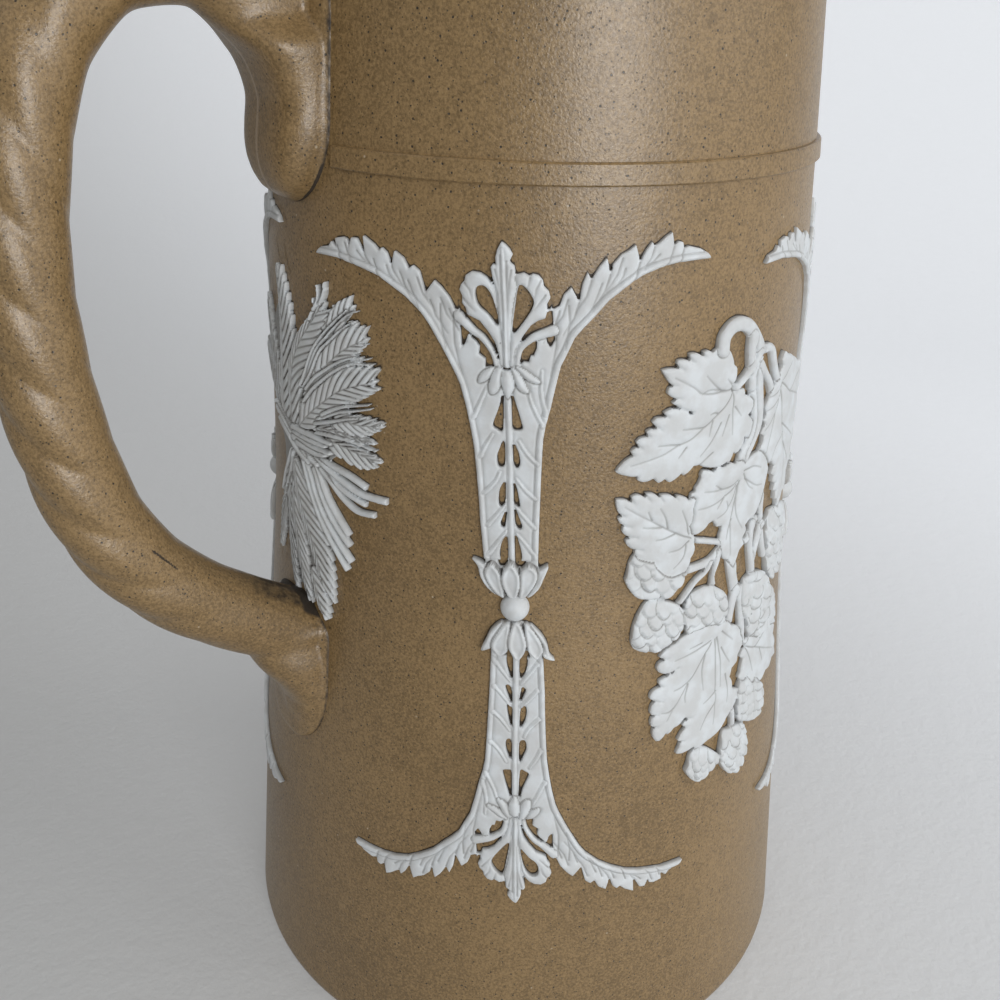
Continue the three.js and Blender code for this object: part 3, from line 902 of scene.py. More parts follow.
def lofted(name: str, rings: Array) -> Piece:
    """A closed skin through a row of closed rings, with a lid on each end.

    Args:
        name: The object's name.
        rings: Rings of points, as an array of rings, points and coordinates.

    Returns:
        The object.
    """
    count, around = rings.shape[:2]
    first = np.arange(count - 1)[:, None] * around + np.arange(around)
    second = np.arange(count - 1)[:, None] * around + (np.arange(around) + 1) % around
    sides = np.stack([first, second, second + around, first + around], -1).reshape(-1, 4)
    made = meshed(name, rings.reshape(-1, 3), sides)
    edited(
        made,
        lambda: bpy.ops.mesh.fill_holes(sides=0),
        lambda: bpy.ops.mesh.normals_make_consistent(inside=False),
    )
    return made


def cornered(values: Array) -> Array:
    """A grid's values at the four corners of each of its cells, in the order of a face."""
    return np.stack([values[:-1, :-1], values[:-1, 1:], values[1:, 1:], values[1:, :-1]], -1)


def trimmed(faces: Array, turned: bool) -> tuple[Array, Array]:
    """The points that some faces use, and the faces by those points' numbers, turned over if asked."""
    used, numbers = np.unique(faces[:, ::-1] if turned else faces, return_inverse=True)
    return used, numbers.reshape(-1, 4)


# Sprigs pressed from clay on a flat sheet


class Sheet:
    """A flat sheet on which a sprig is modelled in relief, before it is laid on the body.

    u runs across and v up, in millimetres. rim is the distance inside the sprig's outline, below 0 outside,
    height the clay's height over the sheet, and stain its soiling and painted shade, from 0 to 1.

    SUNK is how deep a sprig's wall runs into the body, LOWEST the least height of its face, and DROP how
    far the face rounds down over ROUND at its edge. EDGE_BLUR and FACE_BLUR soften the outline and the
    face, HOLLOW is the spread over which a place is compared with what is round it, to paint shade in its
    hollows, and NEAR the distance from the outline that matters. SKIRT is how far the soiling and painted
    shade reach round the sprig, and SKIRT_LIFT how far it lies off the body.
    """

    SUNK = 0.35
    LOWEST = 0.25
    DROP = 0.22
    ROUND = 0.12
    EDGE_BLUR = 0.05
    FACE_BLUR = 0.06
    HOLLOW = 0.55
    NEAR = 1.2
    SKIRT = 1.1
    SKIRT_LIFT = 0.03
    OUTSIDE = -3.0

    def __init__(self, corner: Pair, far_corner: Pair, pitch: float, foot_shade_and_dirt: float = 0.8) -> None:
        """Starts an empty sheet between two corners: a point every pitch, and foot_shade_and_dirt, the
        soiling and painted shade at its walls' foot.
        """
        self.pitch = pitch
        self.foot_shade_and_dirt = foot_shade_and_dirt
        across, up = (np.arange(low, high, pitch) for low, high in zip(corner, far_corner))
        self.u, self.v = np.meshgrid(across, up)
        self.index = np.arange(self.u.size).reshape(self.u.shape)
        self.rim = np.full(self.u.shape, self.OUTSIDE)
        self.height = np.zeros(self.u.shape)
        self.stain = np.zeros(self.u.shape)

    def window(self, points: Array, reach: float) -> Window:
        """The part of the grid within reach of some points."""
        low = points.min(0) - reach - (self.u[0, 0], self.v[0, 0])
        high = points.max(0) + reach - (self.u[0, 0], self.v[0, 0])
        first = np.clip((low / self.pitch).astype(int), 0, None)
        last = np.clip((high / self.pitch).astype(int) + 2, 0, None)
        return slice(first[1], last[1]), slice(first[0], last[0])

    def to_line(self, part: Window, a: Array, b: Array) -> tuple[Array, Array]:
        """Squared distance to a straight line, and the share of its length where it is nearest."""
        u, v = self.u[part] - a[0], self.v[part] - a[1]
        d = b - a
        t = np.clip((u * d[0] + v * d[1]) / max(d @ d, 1e-12), 0, 1)
        return (u - t * d[0]) ** 2 + (v - t * d[1]) ** 2, t

    def inside(self, outline: Line, reach: float = 1.6) -> tuple[Window, Array]:
        """Distance inside an outline.

        Args:
            outline: Corners of the outline.
            reach: How far outside it the distance is wanted.

        Returns:
            The part of the grid that it covers, and the distance there, below 0 outside.
        """
        p = np.asarray(outline, float)
        part = self.window(p, reach)
        u, v = self.u[part], self.v[part]
        near = np.full(u.shape, np.inf)
        within = np.zeros(u.shape, bool)
        for a, b in zip(p, np.roll(p, -1, 0)):
            near = np.minimum(near, self.to_line(part, a, b)[0])
            if b[1] != a[1]:
                crossing = a[0] + (b[0] - a[0]) * (v - a[1]) / (b[1] - a[1])
                within ^= ((a[1] > v) != (b[1] > v)) & (u < crossing)
        return part, np.where(within, 1, -1) * np.sqrt(near)

    def along(self, path: Line, reach: float) -> tuple[Window, Array, Array, float]:
        """Places along and beside a path.

        Args:
            path: Points of the path.
            reach: How far from it they are wanted.

        Returns:
            The part of the grid, the run along the path there, the distance to its left, below 0 on its
            right, and the path's length.
        """
        p = np.asarray(path, float)
        part = self.window(p, reach)
        u, v = self.u[part], self.v[part]
        near = np.full(u.shape, np.inf)
        run, side = np.zeros(u.shape), np.ones(u.shape)
        ends = np.r_[0, np.cumsum(np.hypot(*np.diff(p, axis=0).T))]
        for a, b, start, end in zip(p, p[1:], ends, ends[1:]):
            found, t = self.to_line(part, a, b)
            closer = found < near
            left = np.sign((b[0] - a[0]) * (v - a[1]) - (b[1] - a[1]) * (u - a[0]))
            near = np.where(closer, found, near)
            run = np.where(closer, start + t * (end - start), run)
            side = np.where(closer, left, side)
        return part, run, side * np.sqrt(near), float(ends[-1])

    def beside(self, path: Line, reach: float) -> tuple[Window, Array, Array]:
        """The part of the grid within reach of a path, the distance there and the share of its length."""
        part, run, aside, length = self.along(path, reach)
        return part, np.abs(aside), run / length

    def dented(self, part: Window, rim: Array, seam: float, off: float = 0.12, width: float = 0.2) -> Array:
        """The clay's height with the line that a new piece presses round itself, seam deep."""
        return self.height[part] - seam * bell(rim + off, width) * (self.rim[part] > 0)

    def mark(self, part: Window, away: Array, line: float) -> None:
        """Darkens a thin line beside an edge with soiling and painted shade, and clears it off the clay
        that the new piece covers.

        Args:
            part: The part of the grid.
            away: Distance outside the new piece.
            line: How dark the line is.
        """
        beside = line * bell(away - 0.08, 0.2) * (self.rim[part] > 0)
        self.stain[part] = np.where(away < 0, 0, np.maximum(self.stain[part], beside))

    def cover(
        self, part: Window, rim: Array, tall: Array, shade_and_dirt_lines: Array, seam: float, line: float
    ) -> None:
        """Puts a modelled piece of clay over what is there.

        Args:
            part: The part of the grid.
            rim: Distance inside the piece.
            tall: Its height.
            shade_and_dirt_lines: Its soiling and painted shade.
            seam: Depth of the line pressed round it in the clay below.
            line: How dark that line is.
        """
        below = self.dented(part, rim, seam)
        self.mark(part, -rim, line)
        self.height[part] = np.where(rim > 0, tall, below)
        self.stain[part] = np.where(rim > 0, shade_and_dirt_lines, self.stain[part])
        self.rim[part] = np.maximum(self.rim[part], rim)

    def lay(
        self, outline: Line, height: float | Callable, dome: float = 0.0, dome_reach: float = 2.0,
        seam: float = 0.3, line: float = 0.6,
    ) -> None:
        """Lays a piece of clay over what is there.

        Args:
            outline: Its outline.
            height: Its height, or a function of u, v and the distance inside that gives it.
            dome: How much higher it stands away from its edge.
            dome_reach: How far from the edge the dome rises.
            seam: Depth of the line pressed round it in the clay below.
            line: How dark that line is, from 0 to 1.
        """
        part, rim = self.inside(outline)
        tall = height(self.u[part], self.v[part], rim) if callable(height) else height
        tall = tall + dome * (1 - np.exp(-np.maximum(rim, 0) / dome_reach))
        below = self.dented(part, rim, seam)
        edge = np.where(rim > 0, tall, np.maximum(tall, below))
        self.mark(part, -rim, line)
        self.height[part] = np.where(rim > -0.5 * self.pitch, edge, below)
        self.rim[part] = np.maximum(self.rim[part], rim)

    def rib(
        self, path: Line, half_width: float | Callable, height: float, base: float = 0.5, seam: float = 0.2,
        line: float = 0.6, square: bool = False,
    ) -> None:
        """Lays a round-backed rib along a path.

        Args:
            path: Points of its middle.
            half_width: Half its width, or a function of the share of its length.
            height: Height of its back.
            base: Height of its edges.
            seam: Depth of the line beside it in the clay below.
            line: How dark that line is.
            square: Whether its end is cut square.
        """
        width = half_width if callable(half_width) else lambda share: half_width + 0 * share
        part, away, share = self.beside(path, float(np.max(width(np.linspace(0, 1, 20)))) + 1.6)
        w = width(share)
        rim = w - away
        if square:
            end, before = np.array(path[-1]), np.array(path[-2])
            ahead = (end - before) / np.hypot(*(end - before))
            past = (self.u[part] - end[0]) * ahead[0] + (self.v[part] - end[1]) * ahead[1]
            rim = np.minimum(rim, -past)
        tall = base + (height - base) * np.sqrt(np.clip(1 - (away / w) ** 2, 0, 1))
        below = self.dented(part, rim, seam, 0.1, 0.18)
        self.mark(part, np.where((rim > 0) & (tall < self.height[part]), 1, -rim), line)
        self.height[part] = np.where(rim > 0, np.maximum(tall, self.height[part]), below)
        self.rim[part] = np.maximum(self.rim[part], rim)

    def cut(self, outline: Line) -> None:
        """Cuts an opening through the clay."""
        part, rim = self.inside(outline)
        self.rim[part] = np.minimum(self.rim[part], -rim)

    def groove(self, path: Line, width: float, depth: float, tail: float = 0.5, line: float = 0.0) -> None:
        """Cuts a line into the clay.

        Args:
            path: Points of the line.
            width: About its width.
            depth: Its depth at its start.
            tail: Share of that depth at its end.
            line: How dark it is, with soiling and painted shade.
        """
        part, away, share = self.beside(path, width * 2.5)
        fade = 1 + (tail - 1) * share
        self.height[part] -= depth * fade * bell(away, 0.6 * width)
        self.stain[part] = np.maximum(self.stain[part], line * fade * bell(away, 0.19))

    def blurred(self, values: Array, size: float) -> Array:
        """Values blurred over a distance.

        Args:
            values: A value for each grid point.
            size: The blur's spread, in millimetres.

        Returns:
            The blurred values.
        """
        pad = int(4 * size / self.pitch) + 1
        wide = np.pad(values, pad, mode="edge")
        rows, columns = (np.fft.fftfreq(n, self.pitch) for n in wide.shape)
        keep = np.exp(-2 * (np.pi * size) ** 2 * (rows[:, None] ** 2 + columns[None, :] ** 2))
        soft = np.fft.ifft2(np.fft.fft2(wide) * keep).real
        return soft[pad:-pad, pad:-pad]

    def filled(self, solid: Array) -> tuple[Array, Array]:
        """The clay's heights carried three points past its outline, and where they are known."""
        height = np.where(solid, self.height, 0.0)
        known = solid.copy()
        for _ in range(3):
            total, count = np.zeros(solid.shape), np.zeros(solid.shape)
            for axis in (0, 1):
                for shift in (1, -1):
                    total += np.roll(height * known, shift, axis)
                    count += np.roll(known, shift, axis)
            grown = ~known & (count > 0)
            height[grown] = total[grown] / count[grown]
            known |= grown
        return height, known

    def walls(self, touched: Array) -> Array:
        """The grid's edges round the touched cells, each with those cells on its left."""
        rows = np.stack([self.index[:, :-1], self.index[:, 1:]], -1)
        columns = np.stack([self.index[:-1, :], self.index[1:, :]], -1)
        up = np.pad(touched, ((1, 1), (0, 0)))
        across = np.pad(touched, ((0, 0), (1, 1)))
        return np.concatenate([
            rows[up[1:, :] & ~up[:-1, :]],
            rows[up[:-1, :] & ~up[1:, :]][:, ::-1],
            columns[across[:, 1:] & ~across[:, :-1]][:, ::-1],
            columns[across[:, :-1] & ~across[:, 1:]],
        ])

    def finished(self, name: str, place: Place, up: float = 1.0) -> tuple[Piece, Piece]:
        """The sprig and the skirt of soiling and painted shade round it, laid on the body.

        Args:
            name: The sprig's name.
            place: Puts u, v and lift on the body.
            up: 1 where v runs up the body, -1 where it runs down.

        Returns:
            The sprig, and its skirt.
        """
        near = np.clip(self.rim, -self.NEAR, self.NEAR)
        rim = np.clip(self.blurred(near, self.EDGE_BLUR), -self.NEAR, self.NEAR)
        solid = rim > 0
        filled, known = self.filled(solid)
        height = np.where(known, self.blurred(filled, self.FACE_BLUR), filled)
        weight = np.maximum(self.blurred(known.astype(float), self.HOLLOW), 0.05)
        # How far a place lies below what is round it, for painted shade in hollows.
        recess = self.blurred(filled, self.HOLLOW) / weight - height
        height = height - self.DROP * np.exp(-np.maximum(rim, 0) / self.ROUND)
        slope_v, slope_u = np.gradient(rim, self.pitch)
        steep = np.maximum(slope_u**2 + slope_v**2, 0.15)
        reach = np.where(solid, 0, np.clip(-rim, 0, 1.5 * self.pitch)) / steep
        u, v = self.u + reach * slope_u, self.v + reach * slope_v
        touched = cornered(solid).any(-1)
        tops = cornered(self.index)[touched]
        edge = self.walls(touched)
        foot = edge + rim.size
        sides = np.stack([edge[:, 1], edge[:, 0], foot[:, 0], foot[:, 1]], -1)
        top = place(u.ravel(), v.ravel(), np.maximum(height, self.LOWEST).ravel())
        bottom = place(u.ravel(), v.ravel(), np.full(u.size, -self.SUNK))
        upper = -self.blurred(slope_v, 0.2) * up
        # Face: painted shade in hollows, and the soiling and painted shade of its lines. Walls: soiling and
        # painted shade at their foot, more where they face up.
        face = 0.34 * step(recess, 0.15, 0.8) * step(rim, 0.1, 0.45) + self.stain * step(rim, -0.05, 0.1)
        dirt_and_shade = np.concatenate([face.ravel(), (self.foot_shade_and_dirt + 0.5 * upper).ravel()])
        used, faces = trimmed(np.concatenate([tops, sides]), up < 0)
        sprig = meshed(name, np.concatenate([top, bottom])[used], faces)
        sprig.data.polygons.foreach_set("use_smooth", np.arange(len(faces)) < len(tops))
        tagged(sprig, dirt_and_shade[used])
        return sprig, self.skirt(name + "_seat", place, rim, up)

    def skirt(self, name: str, place: Place, rim: Array, up: float) -> Piece:
        """Soiling and painted shade round the sprig, a hair over the body.

        Args:
            name: The skirt's name.
            place: Puts u, v and lift on the body.
            rim: Distance inside the sprig.
            up: 1 where v runs up the body, -1 where it runs down.

        Returns:
            The skirt.
        """
        # Painted shade and soiling: darkest in the notches between teeth and in a thin line along the edge,
        # more where the edge faces up.
        cover = self.blurred(np.clip(rim / self.pitch + 0.5, 0, 1), 0.45)
        slope_v, slope_u = np.gradient(self.blurred(rim, 0.3), self.pitch)
        upper = -slope_v * up / np.maximum(np.hypot(slope_u, slope_v), 0.3)
        close = np.exp(-np.abs(rim) / 0.3)
        dirt_and_shade = step(cover, 0.38, 0.62) * (0.62 + 0.5 * upper) + close * (0.36 + 0.4 * upper)
        fade = step(rim, -self.SKIRT + 0.25, -self.SKIRT + 0.6)
        wanted = cornered((rim > -self.SKIRT) & (rim < 0.35)).all(-1)
        used, faces = trimmed(cornered(self.index)[wanted], up < 0)
        lift = np.full(len(used), self.SKIRT_LIFT)
        made = meshed(name, place(self.u.ravel()[used], self.v.ravel()[used], lift), faces)
        tagged(made, (dirt_and_shade * fade).ravel()[used])
        return made


def crowned(points: Line, bulge: float = 0.1, shortest: float = 0.9) -> list[Pair]:
    """An outline whose longer sides swell outwards, as the shoulders of teeth do.

    Args:
        points: Tips and notches.
        bulge: Swell as a share of a side's length.
        shortest: Sides below this length stay straight.

    Returns:
        The outline.
    """
    p = np.asarray(points, float)
    turn = np.sign(np.sum(p[:, 0] * np.roll(p[:, 1], -1) - p[:, 1] * np.roll(p[:, 0], -1)))
    line = []
    for a, b in zip(p, np.roll(p, -1, 0)):
        d = b - a
        line.append(tuple(a))
        if np.hypot(*d) > shortest:
            out = np.array([d[1], -d[0]]) * turn * bulge
            line += [tuple(a + d * 0.3 + out * 0.8), tuple(a + d * 0.65 + out * 0.9)]
    return line


@dataclass
class ColumnMould:
    """Mould of half a column: calyx, pierced shaft, two volutes and an anthemion between them.

    v runs from the knop to the finial. Each side has a smooth inner edge and a toothed outer one. notches
    are where the teeth of the right volute meet, folds the other lines cut in it, cuts those of the
    anthemion, and eyes, drops and the gaps beside the web the openings through the clay.
    """

    pitch: float = 0.17
    thickness: float = 0.78
    bead: float = 0.24

    right_edge: Points = (
        (3.9, 8.6), (4.2, 15), (4.5, 20), (4.8, 25), (5.1, 29), (5.6, 31.5), (6.3, 34), (7, 37),
        (7.9, 40.5), (8.9, 42.5), (10, 44.8), (11.3, 46.3), (12.5, 47.5), (15, 50.2), (17.3, 51.9),
        (20, 53.6), (22.5, 54.5), (25, 55), (27.5, 55.2), (31.2, 55.3),
    )
    right_teeth: Points = (
        (31.2, 55.3), (30.6, 56.1), (29.3, 56.8), (27.3, 57.3), (26.6, 57), (26.3, 57.9), (25.6, 58.1),
        (24.9, 57.5), (24.5, 59.4), (23.6, 58.9), (22.5, 58), (21.8, 57.6), (21.4, 58.2), (20.5, 57.1),
        (19.6, 55.5), (18.9, 57.9), (18, 57.2), (16.8, 56.6), (15.6, 55.3), (15.2, 53.9), (14.7, 56.2),
        (13.6, 55), (12.5, 53.2), (11.9, 54.2), (11.2, 52.6), (10.7, 50), (9.6, 52.1), (8.5, 51),
        (7.9, 49.4), (7, 48.9), (6.2, 48.5),
    )
    left_edge: Points = (
        (-4.6, 8.6), (-4.9, 15), (-5, 20), (-5.2, 25), (-5.4, 28), (-5.8, 31), (-6.3, 34), (-7, 37),
        (-7.6, 38.5), (-8.9, 41.2), (-10, 43.2), (-11.3, 45.5), (-12.5, 47.1), (-15, 49.2), (-17.5, 50.6),
        (-20, 51.7), (-22.5, 52.3), (-27.5, 53), (-32.3, 52.9),
    )
    left_teeth: Points = (
        (-32.3, 52.9), (-31.2, 54), (-29.3, 54.4), (-28.6, 55.2), (-27.6, 54.4), (-27.7, 55.8),
        (-26, 56.2), (-25.2, 56), (-24.8, 55.1), (-24.2, 56.4), (-23.2, 56.4), (-21.8, 54.1), (-21.9, 57),
        (-20, 56), (-19.1, 55.2), (-18.6, 55.7), (-17.8, 55.1), (-17.1, 53.3), (-16.4, 55.5), (-15, 54.7),
        (-14.2, 53.2), (-13.5, 53.8), (-12.5, 53.1), (-12.1, 51.5), (-11.7, 50.1), (-10.2, 52),
        (-9.2, 51.2), (-8, 49.8), (-7.2, 48.1), (-6.6, 48.1),
    )
    web: Points = (
        (6.8, 49.4), (7, 46.4), (7.2, 44.4), (6.5, 43.3), (6, 44), (5.8, 45.2), (4.6, 44.8), (4.5, 43.1),
        (4, 42), (3.6, 42), (3.3, 41), (2.5, 41.1), (1.4, 39.4), (-1.3, 39.4), (-2.2, 40.1), (-3.1, 39.9),
        (-3, 41.2), (-4, 41.9), (-3.8, 43), (-4.3, 43.7), (-5.4, 44.7), (-6, 43.2), (-6.5, 42.7),
        (-6.6, 45), (-6.8, 49.4),
    )
    finial: Points = (
        (0.4, 57.9), (1, 57.3), (1.45, 56.5), (0.95, 55.5), (1.65, 54.9), (1.75, 54), (1.6, 53.2),
        (1.9, 52), (1.3, 49.7), (0.9, 47.1), (0.55, 44), (0.35, 40), (-0.25, 40), (-0.3, 43.9),
        (-0.55, 46.4), (-0.8, 48.6), (-0.9, 50.9), (-1.1, 51.7), (-1.4, 52.7), (-1.6, 53.8), (-1.7, 54.6),
        (-1.4, 55.1), (-0.95, 54.9), (-1, 56), (-0.7, 57.1), (-0.1, 58.2),
    )
    right_scroll: Points = (
        (1.5, 53.6), (2.9, 54), (3.7, 53.6), (4.2, 53.9), (5, 53.7), (5.6, 53), (5.7, 52.2), (6.4, 51.5),
        (6.6, 50.6), (6.1, 49.7), (6.2, 48.9), (5.8, 47.6), (4.8, 47.3), (3.7, 46.5), (2.7, 45.1),
        (1.8, 43.6), (1.3, 42), (1.05, 40), (0.45, 40), (0.6, 43.1), (0.9, 46.5), (1.2, 50),
    )
    left_scroll: Points = (
        (-4.5, 53.8), (-3.3, 53.7), (-2.4, 53.2), (-1.7, 52.4), (-1, 51), (-0.8, 48.6), (-0.45, 45.4),
        (-0.3, 40), (-0.85, 40), (-1, 42), (-1.5, 43.8), (-2.4, 45.3), (-3.6, 46.8), (-5.4, 47.6),
        (-5.6, 48.6), (-6.1, 49.2), (-6, 50.2), (-6.4, 51.1), (-6.1, 51.9), (-5.6, 52.4), (-5.4, 53.2),
    )
    eyes: Outlines = (
        ((2.4, 52.4), (3.4, 51.7), (4.2, 50.3), (4.1, 49.2), (3.3, 47.8), (1.6, 45.5), (1.05, 45.5),
            (1.2, 47.1), (1.5, 48.9), (1.9, 51.2)),
        ((-4.1, 51), (-3.7, 51.8), (-2.9, 52), (-2.2, 51.5), (-1.6, 50.4), (-1.2, 49), (-0.95, 47.6),
            (-0.9, 46.5), (-1.2, 46.4), (-2.4, 47.9), (-3.5, 48.8), (-4, 49.8)),
    )
    petals: Outlines = (
        ((-1.5, 40), (-2.9, 39.7), (-4, 38.6), (-4.2, 37.6), (-3.3, 37.8), (-2.3, 38.6)),
        ((1.4, 40.3), (2.6, 40), (3.7, 39.2), (4.8, 38.3), (4.7, 37.9), (3.5, 38.1), (2.2, 39)),
        ((-1.5, 39.9), (-2.3, 38.4), (-2.7, 37), (-2.4, 35.9), (-1.4, 36.4), (-0.7, 38), (-0.55, 40)),
        ((0.8, 40.1), (1.9, 39.3), (2.8, 37.6), (3.1, 36.4), (1.9, 36.7), (1.2, 37.8), (0.7, 39)),
        ((-0.4, 39.6), (0.65, 39.5), (1.1, 37.7), (0.9, 36.7), (0.05, 35.4), (-0.6, 36.8), (-0.75, 38.1)),
    )
    ridges: Outlines = (
        ((3, 37.3), (3.6, 34.7), (5.1, 31.3)), ((1.5, 28.8), (2.7, 26.7), (4.1, 25.2)),
        ((0.9, 22.6), (2.2, 20.8), (3.6, 19.4)), ((0.7, 17.9), (1.9, 16.3), (3.4, 14.5)),
        ((0.7, 13.3), (2, 11.6), (3.6, 9.3)), ((5.2, 39.8), (5, 36.6), (5.6, 33.2)),
        ((-2.9, 37), (-4, 34.6), (-5.1, 32.2)), ((-2.4, 29.6), (-3.6, 27.6), (-4.3, 26)),
        ((-1.5, 23.6), (-2.3, 21.9), (-4, 20)), ((-1, 18), (-2.4, 16.2), (-3.7, 14.6)),
        ((-0.9, 13.6), (-2.2, 11.8), (-3.7, 9.6)),
    )
    drops: Outlines = (
        ((-0.6, 36.6), (-1.2, 34.2), (-2.2, 31.6), (-2.3, 30.8), (-1.7, 30.4), (-0.8, 30.5)),
        ((0.6, 36.1), (1.4, 34), (2, 31.6), (2.1, 30.7), (1.4, 30.4), (0.5, 31)),
        ((-0.7, 28.8), (-1.6, 27), (-1.9, 26), (-1.8, 24.6), (-1.3, 24.3), (-0.7, 25)),
        ((0.5, 28.6), (1.3, 27.2), (1.6, 25.6), (1.4, 24.5), (0.8, 24.4), (0.45, 26)),
        ((-0.75, 21.9), (-1.7, 20.6), (-1.9, 18.1), (-1, 17.9)),
        ((0.25, 22.2), (0.9, 21.2), (1.35, 18.2), (0.9, 17.8), (0.4, 18.6)),
        ((-0.7, 17.4), (-1.4, 16), (-1.8, 14.7), (-1.1, 14.3)),
        ((0.5, 17.7), (1.1, 16.2), (1.6, 14.5), (1.1, 14), (0.5, 15)),
        ((-0.8, 12.6), (-1.7, 11.6), (-2.1, 9.2), (-1.5, 8), (-0.8, 8.9)),
        ((0.4, 13.2), (1.2, 11), (1.4, 9.1), (1, 8), (0.3, 8.6)),
    )
    calyx: Points = (
        (-2.2, 2.4), (-3.9, 4), (-4.4, 6), (-4.4, 8.6), (-2.5, 8.6), (-2.2, 7.4), (1.8, 7.4), (2.1, 8.6),
        (3.9, 8.6), (3.9, 6), (3.3, 3.9), (1.9, 2.5), (-0.2, 2.15),
    )
    sepals: Outlines = (
        ((-6.5, 8.6), (-5.6, 7.5), (-5.2, 5.7), (-4.2, 3.9), (-2.6, 2.4), (-2.4, 3.2), (-3.6, 5),
            (-4.1, 7), (-4.9, 8.1)),
        ((5.5, 8), (4.7, 6), (3.8, 4), (2.2, 2.4), (1.9, 3.2), (3, 5), (3.5, 6.8), (4.3, 7.5)),
        ((-3.5, 8.2), (-4.4, 7), (-4.3, 5.6), (-3.3, 3.7), (-2.2, 2.4), (-1.6, 2.4), (-1.7, 4.5),
            (-2, 6.4), (-2.6, 7.5)),
        ((2.3, 8.2), (1.2, 7.2), (0.9, 5.6), (0.8, 3.7), (0.8, 2.3), (1.6, 2.4), (2.6, 3.9), (3.5, 5.6),
            (3.7, 7), (3, 7.9)),
        ((-0.4, 8.6), (-1.5, 7.2), (-1.8, 5.6), (-1.4, 3.7), (-0.7, 2.2), (0.2, 2.2), (0.7, 3.7),
            (1, 5.6), (0.7, 7.2)),
    )

    notches: Points = (
        (26.5, 57), (24.9, 57.5), (21.8, 57.6), (19.6, 55.5), (17, 56.2), (15.2, 53.9), (12.5, 53.2),
        (10.7, 50), (9.1, 50.4), (7.9, 48.8),
    )
    folds: Outlines = (
        ((9.2, 49.4), (9.3, 47), (8.6, 43)), ((7.4, 47), (7.3, 43.6), (6.4, 39)),
        ((14, 52.6), (13.2, 50.6), (12.4, 48.8)), ((17.4, 54.6), (17, 53.4), (16.3, 52.4)),
        ((22.6, 56.4), (21.6, 55.4), (20.6, 54.8)),
    )
    cuts: Outlines = (
        ((-0.35, 56.4), (-0.3, 50), (-0.05, 44)), ((0.55, 55.6), (0.5, 50), (0.3, 44)),
        ((-1.1, 54.4), (-0.7, 52.6), (-0.5, 51)), ((1.2, 54.4), (0.9, 52.8), (0.7, 51)),
        ((5.3, 53), (4.6, 51.8), (4.4, 50.6)), ((5.9, 51), (5, 49.8), (4.3, 48.8)),
        ((3.8, 53.4), (3.6, 52.6), (3.4, 52)), ((-5.6, 52.2), (-4.8, 51.2), (-4.5, 50)),
        ((-5.8, 49.9), (-5, 49), (-4.2, 48.2)),
    )
    arms: Outlines = (
        ((1.5, 39.8), (2, 42.7), (3.2, 44.1), (4.6, 45), (6.9, 45.8)),
        ((-1.3, 39.8), (-1.7, 41.7), (-2.4, 43.1), (-3.4, 44.4), (-4.8, 45.4), (-6.7, 47.2)),
    )

    def veins(self) -> list[list[Pair]]:
        """Cut lines that run from each notch of a volute down to its rim, and along its folds."""
        lines = []
        for u, v in self.notches:
            run = 3.2 + 1.6 * (u < 20)
            lines.append([(u, v - 0.1), (u - 0.16 * run, v - 0.5 * run), (u - 0.5 * run, v - run)])
        lines += self.folds
        return lines + [[(-1.03 * u, v - 0.078 * u) for u, v in line] for line in lines]

    def rims(self, sheet: Sheet) -> None:
        """Raises a bead along both edges of the shaft and volutes, with a cut line inside it."""
        for line in (self.right_edge, self.left_edge):
            part, away, _ = sheet.beside(smoothed(line, False, 3), 2.2)
            within = sheet.rim[part] > 0
            sheet.height[part] += self.bead * np.exp(-(((away - 0.45) / 0.42) ** 4)) * within
            # The cut line inside the bead is darkened with soiling and painted shade.
            beside = bell(away - 0.98, 0.17) * within
            sheet.height[part] -= 0.16 * beside
            sheet.stain[part] = np.maximum(sheet.stain[part], 0.5 * beside)

    def pressed(self) -> Sheet:
        """Models the sprig.

        Returns:
            Its sheet.
        """
        sheet = Sheet((-34, 1.2), (33, 61), self.pitch)
        t = self.thickness
        right = [*self.right_edge, *self.right_teeth[1:]]
        left = [*self.left_teeth[::-1][:-1], *self.left_edge[::-1]]
        sheet.lay([*right, *self.web, *left], t, seam=0)
        self.rims(sheet)
        for line in self.veins():
            sheet.groove(line, 0.3, 0.2, 0.6, 0.62)
            sheet.groove(line, 1.4, 0.14, 0.4)
        for outline in self.drops:
            sheet.cut(smoothed(outline, True, 3))
        for ridge in self.ridges:
            sheet.rib(smoothed(ridge, False), lambda s: 0.2 + 0.14 * s, t + 0.2, t - 0.2, 0.16, 0.34)
        for scroll in (self.right_scroll, self.left_scroll):
            sheet.lay(scroll, t, 0.25, 0.35, 0.25)
        for outline in self.eyes:
            sheet.cut(smoothed(outline, True, 3))
        sheet.lay(self.finial, t + 0.1, 0.3, 0.35, 0.3)
        for line in self.cuts:
            sheet.groove(line, 0.28, 0.22, 0.5, 0.6)
        sheet.rib([(0, 40.5), (0.12, 48), (0, 57.2)], lambda s: 0.3 - 0.14 * s, t + 0.5, t + 0.1, 0.1, 0.3)
        for arm in self.arms:
            sheet.rib(smoothed(arm, False), lambda s: 0.36 + 0.4 * s**2, t + 0.2, t - 0.1, 0.2)
        sheet.rib([(-0.15, 7), (-0.1, 15), (0.1, 26), (0.15, 36)], 0.42, t + 0.25, t - 0.1, 0.2, 0.4)
        for petal in self.petals:
            sheet.lay(smoothed(petal, True, 3), t, 0.45, 0.4, 0.3, 0.7)
        self.cup(sheet)
        return sheet

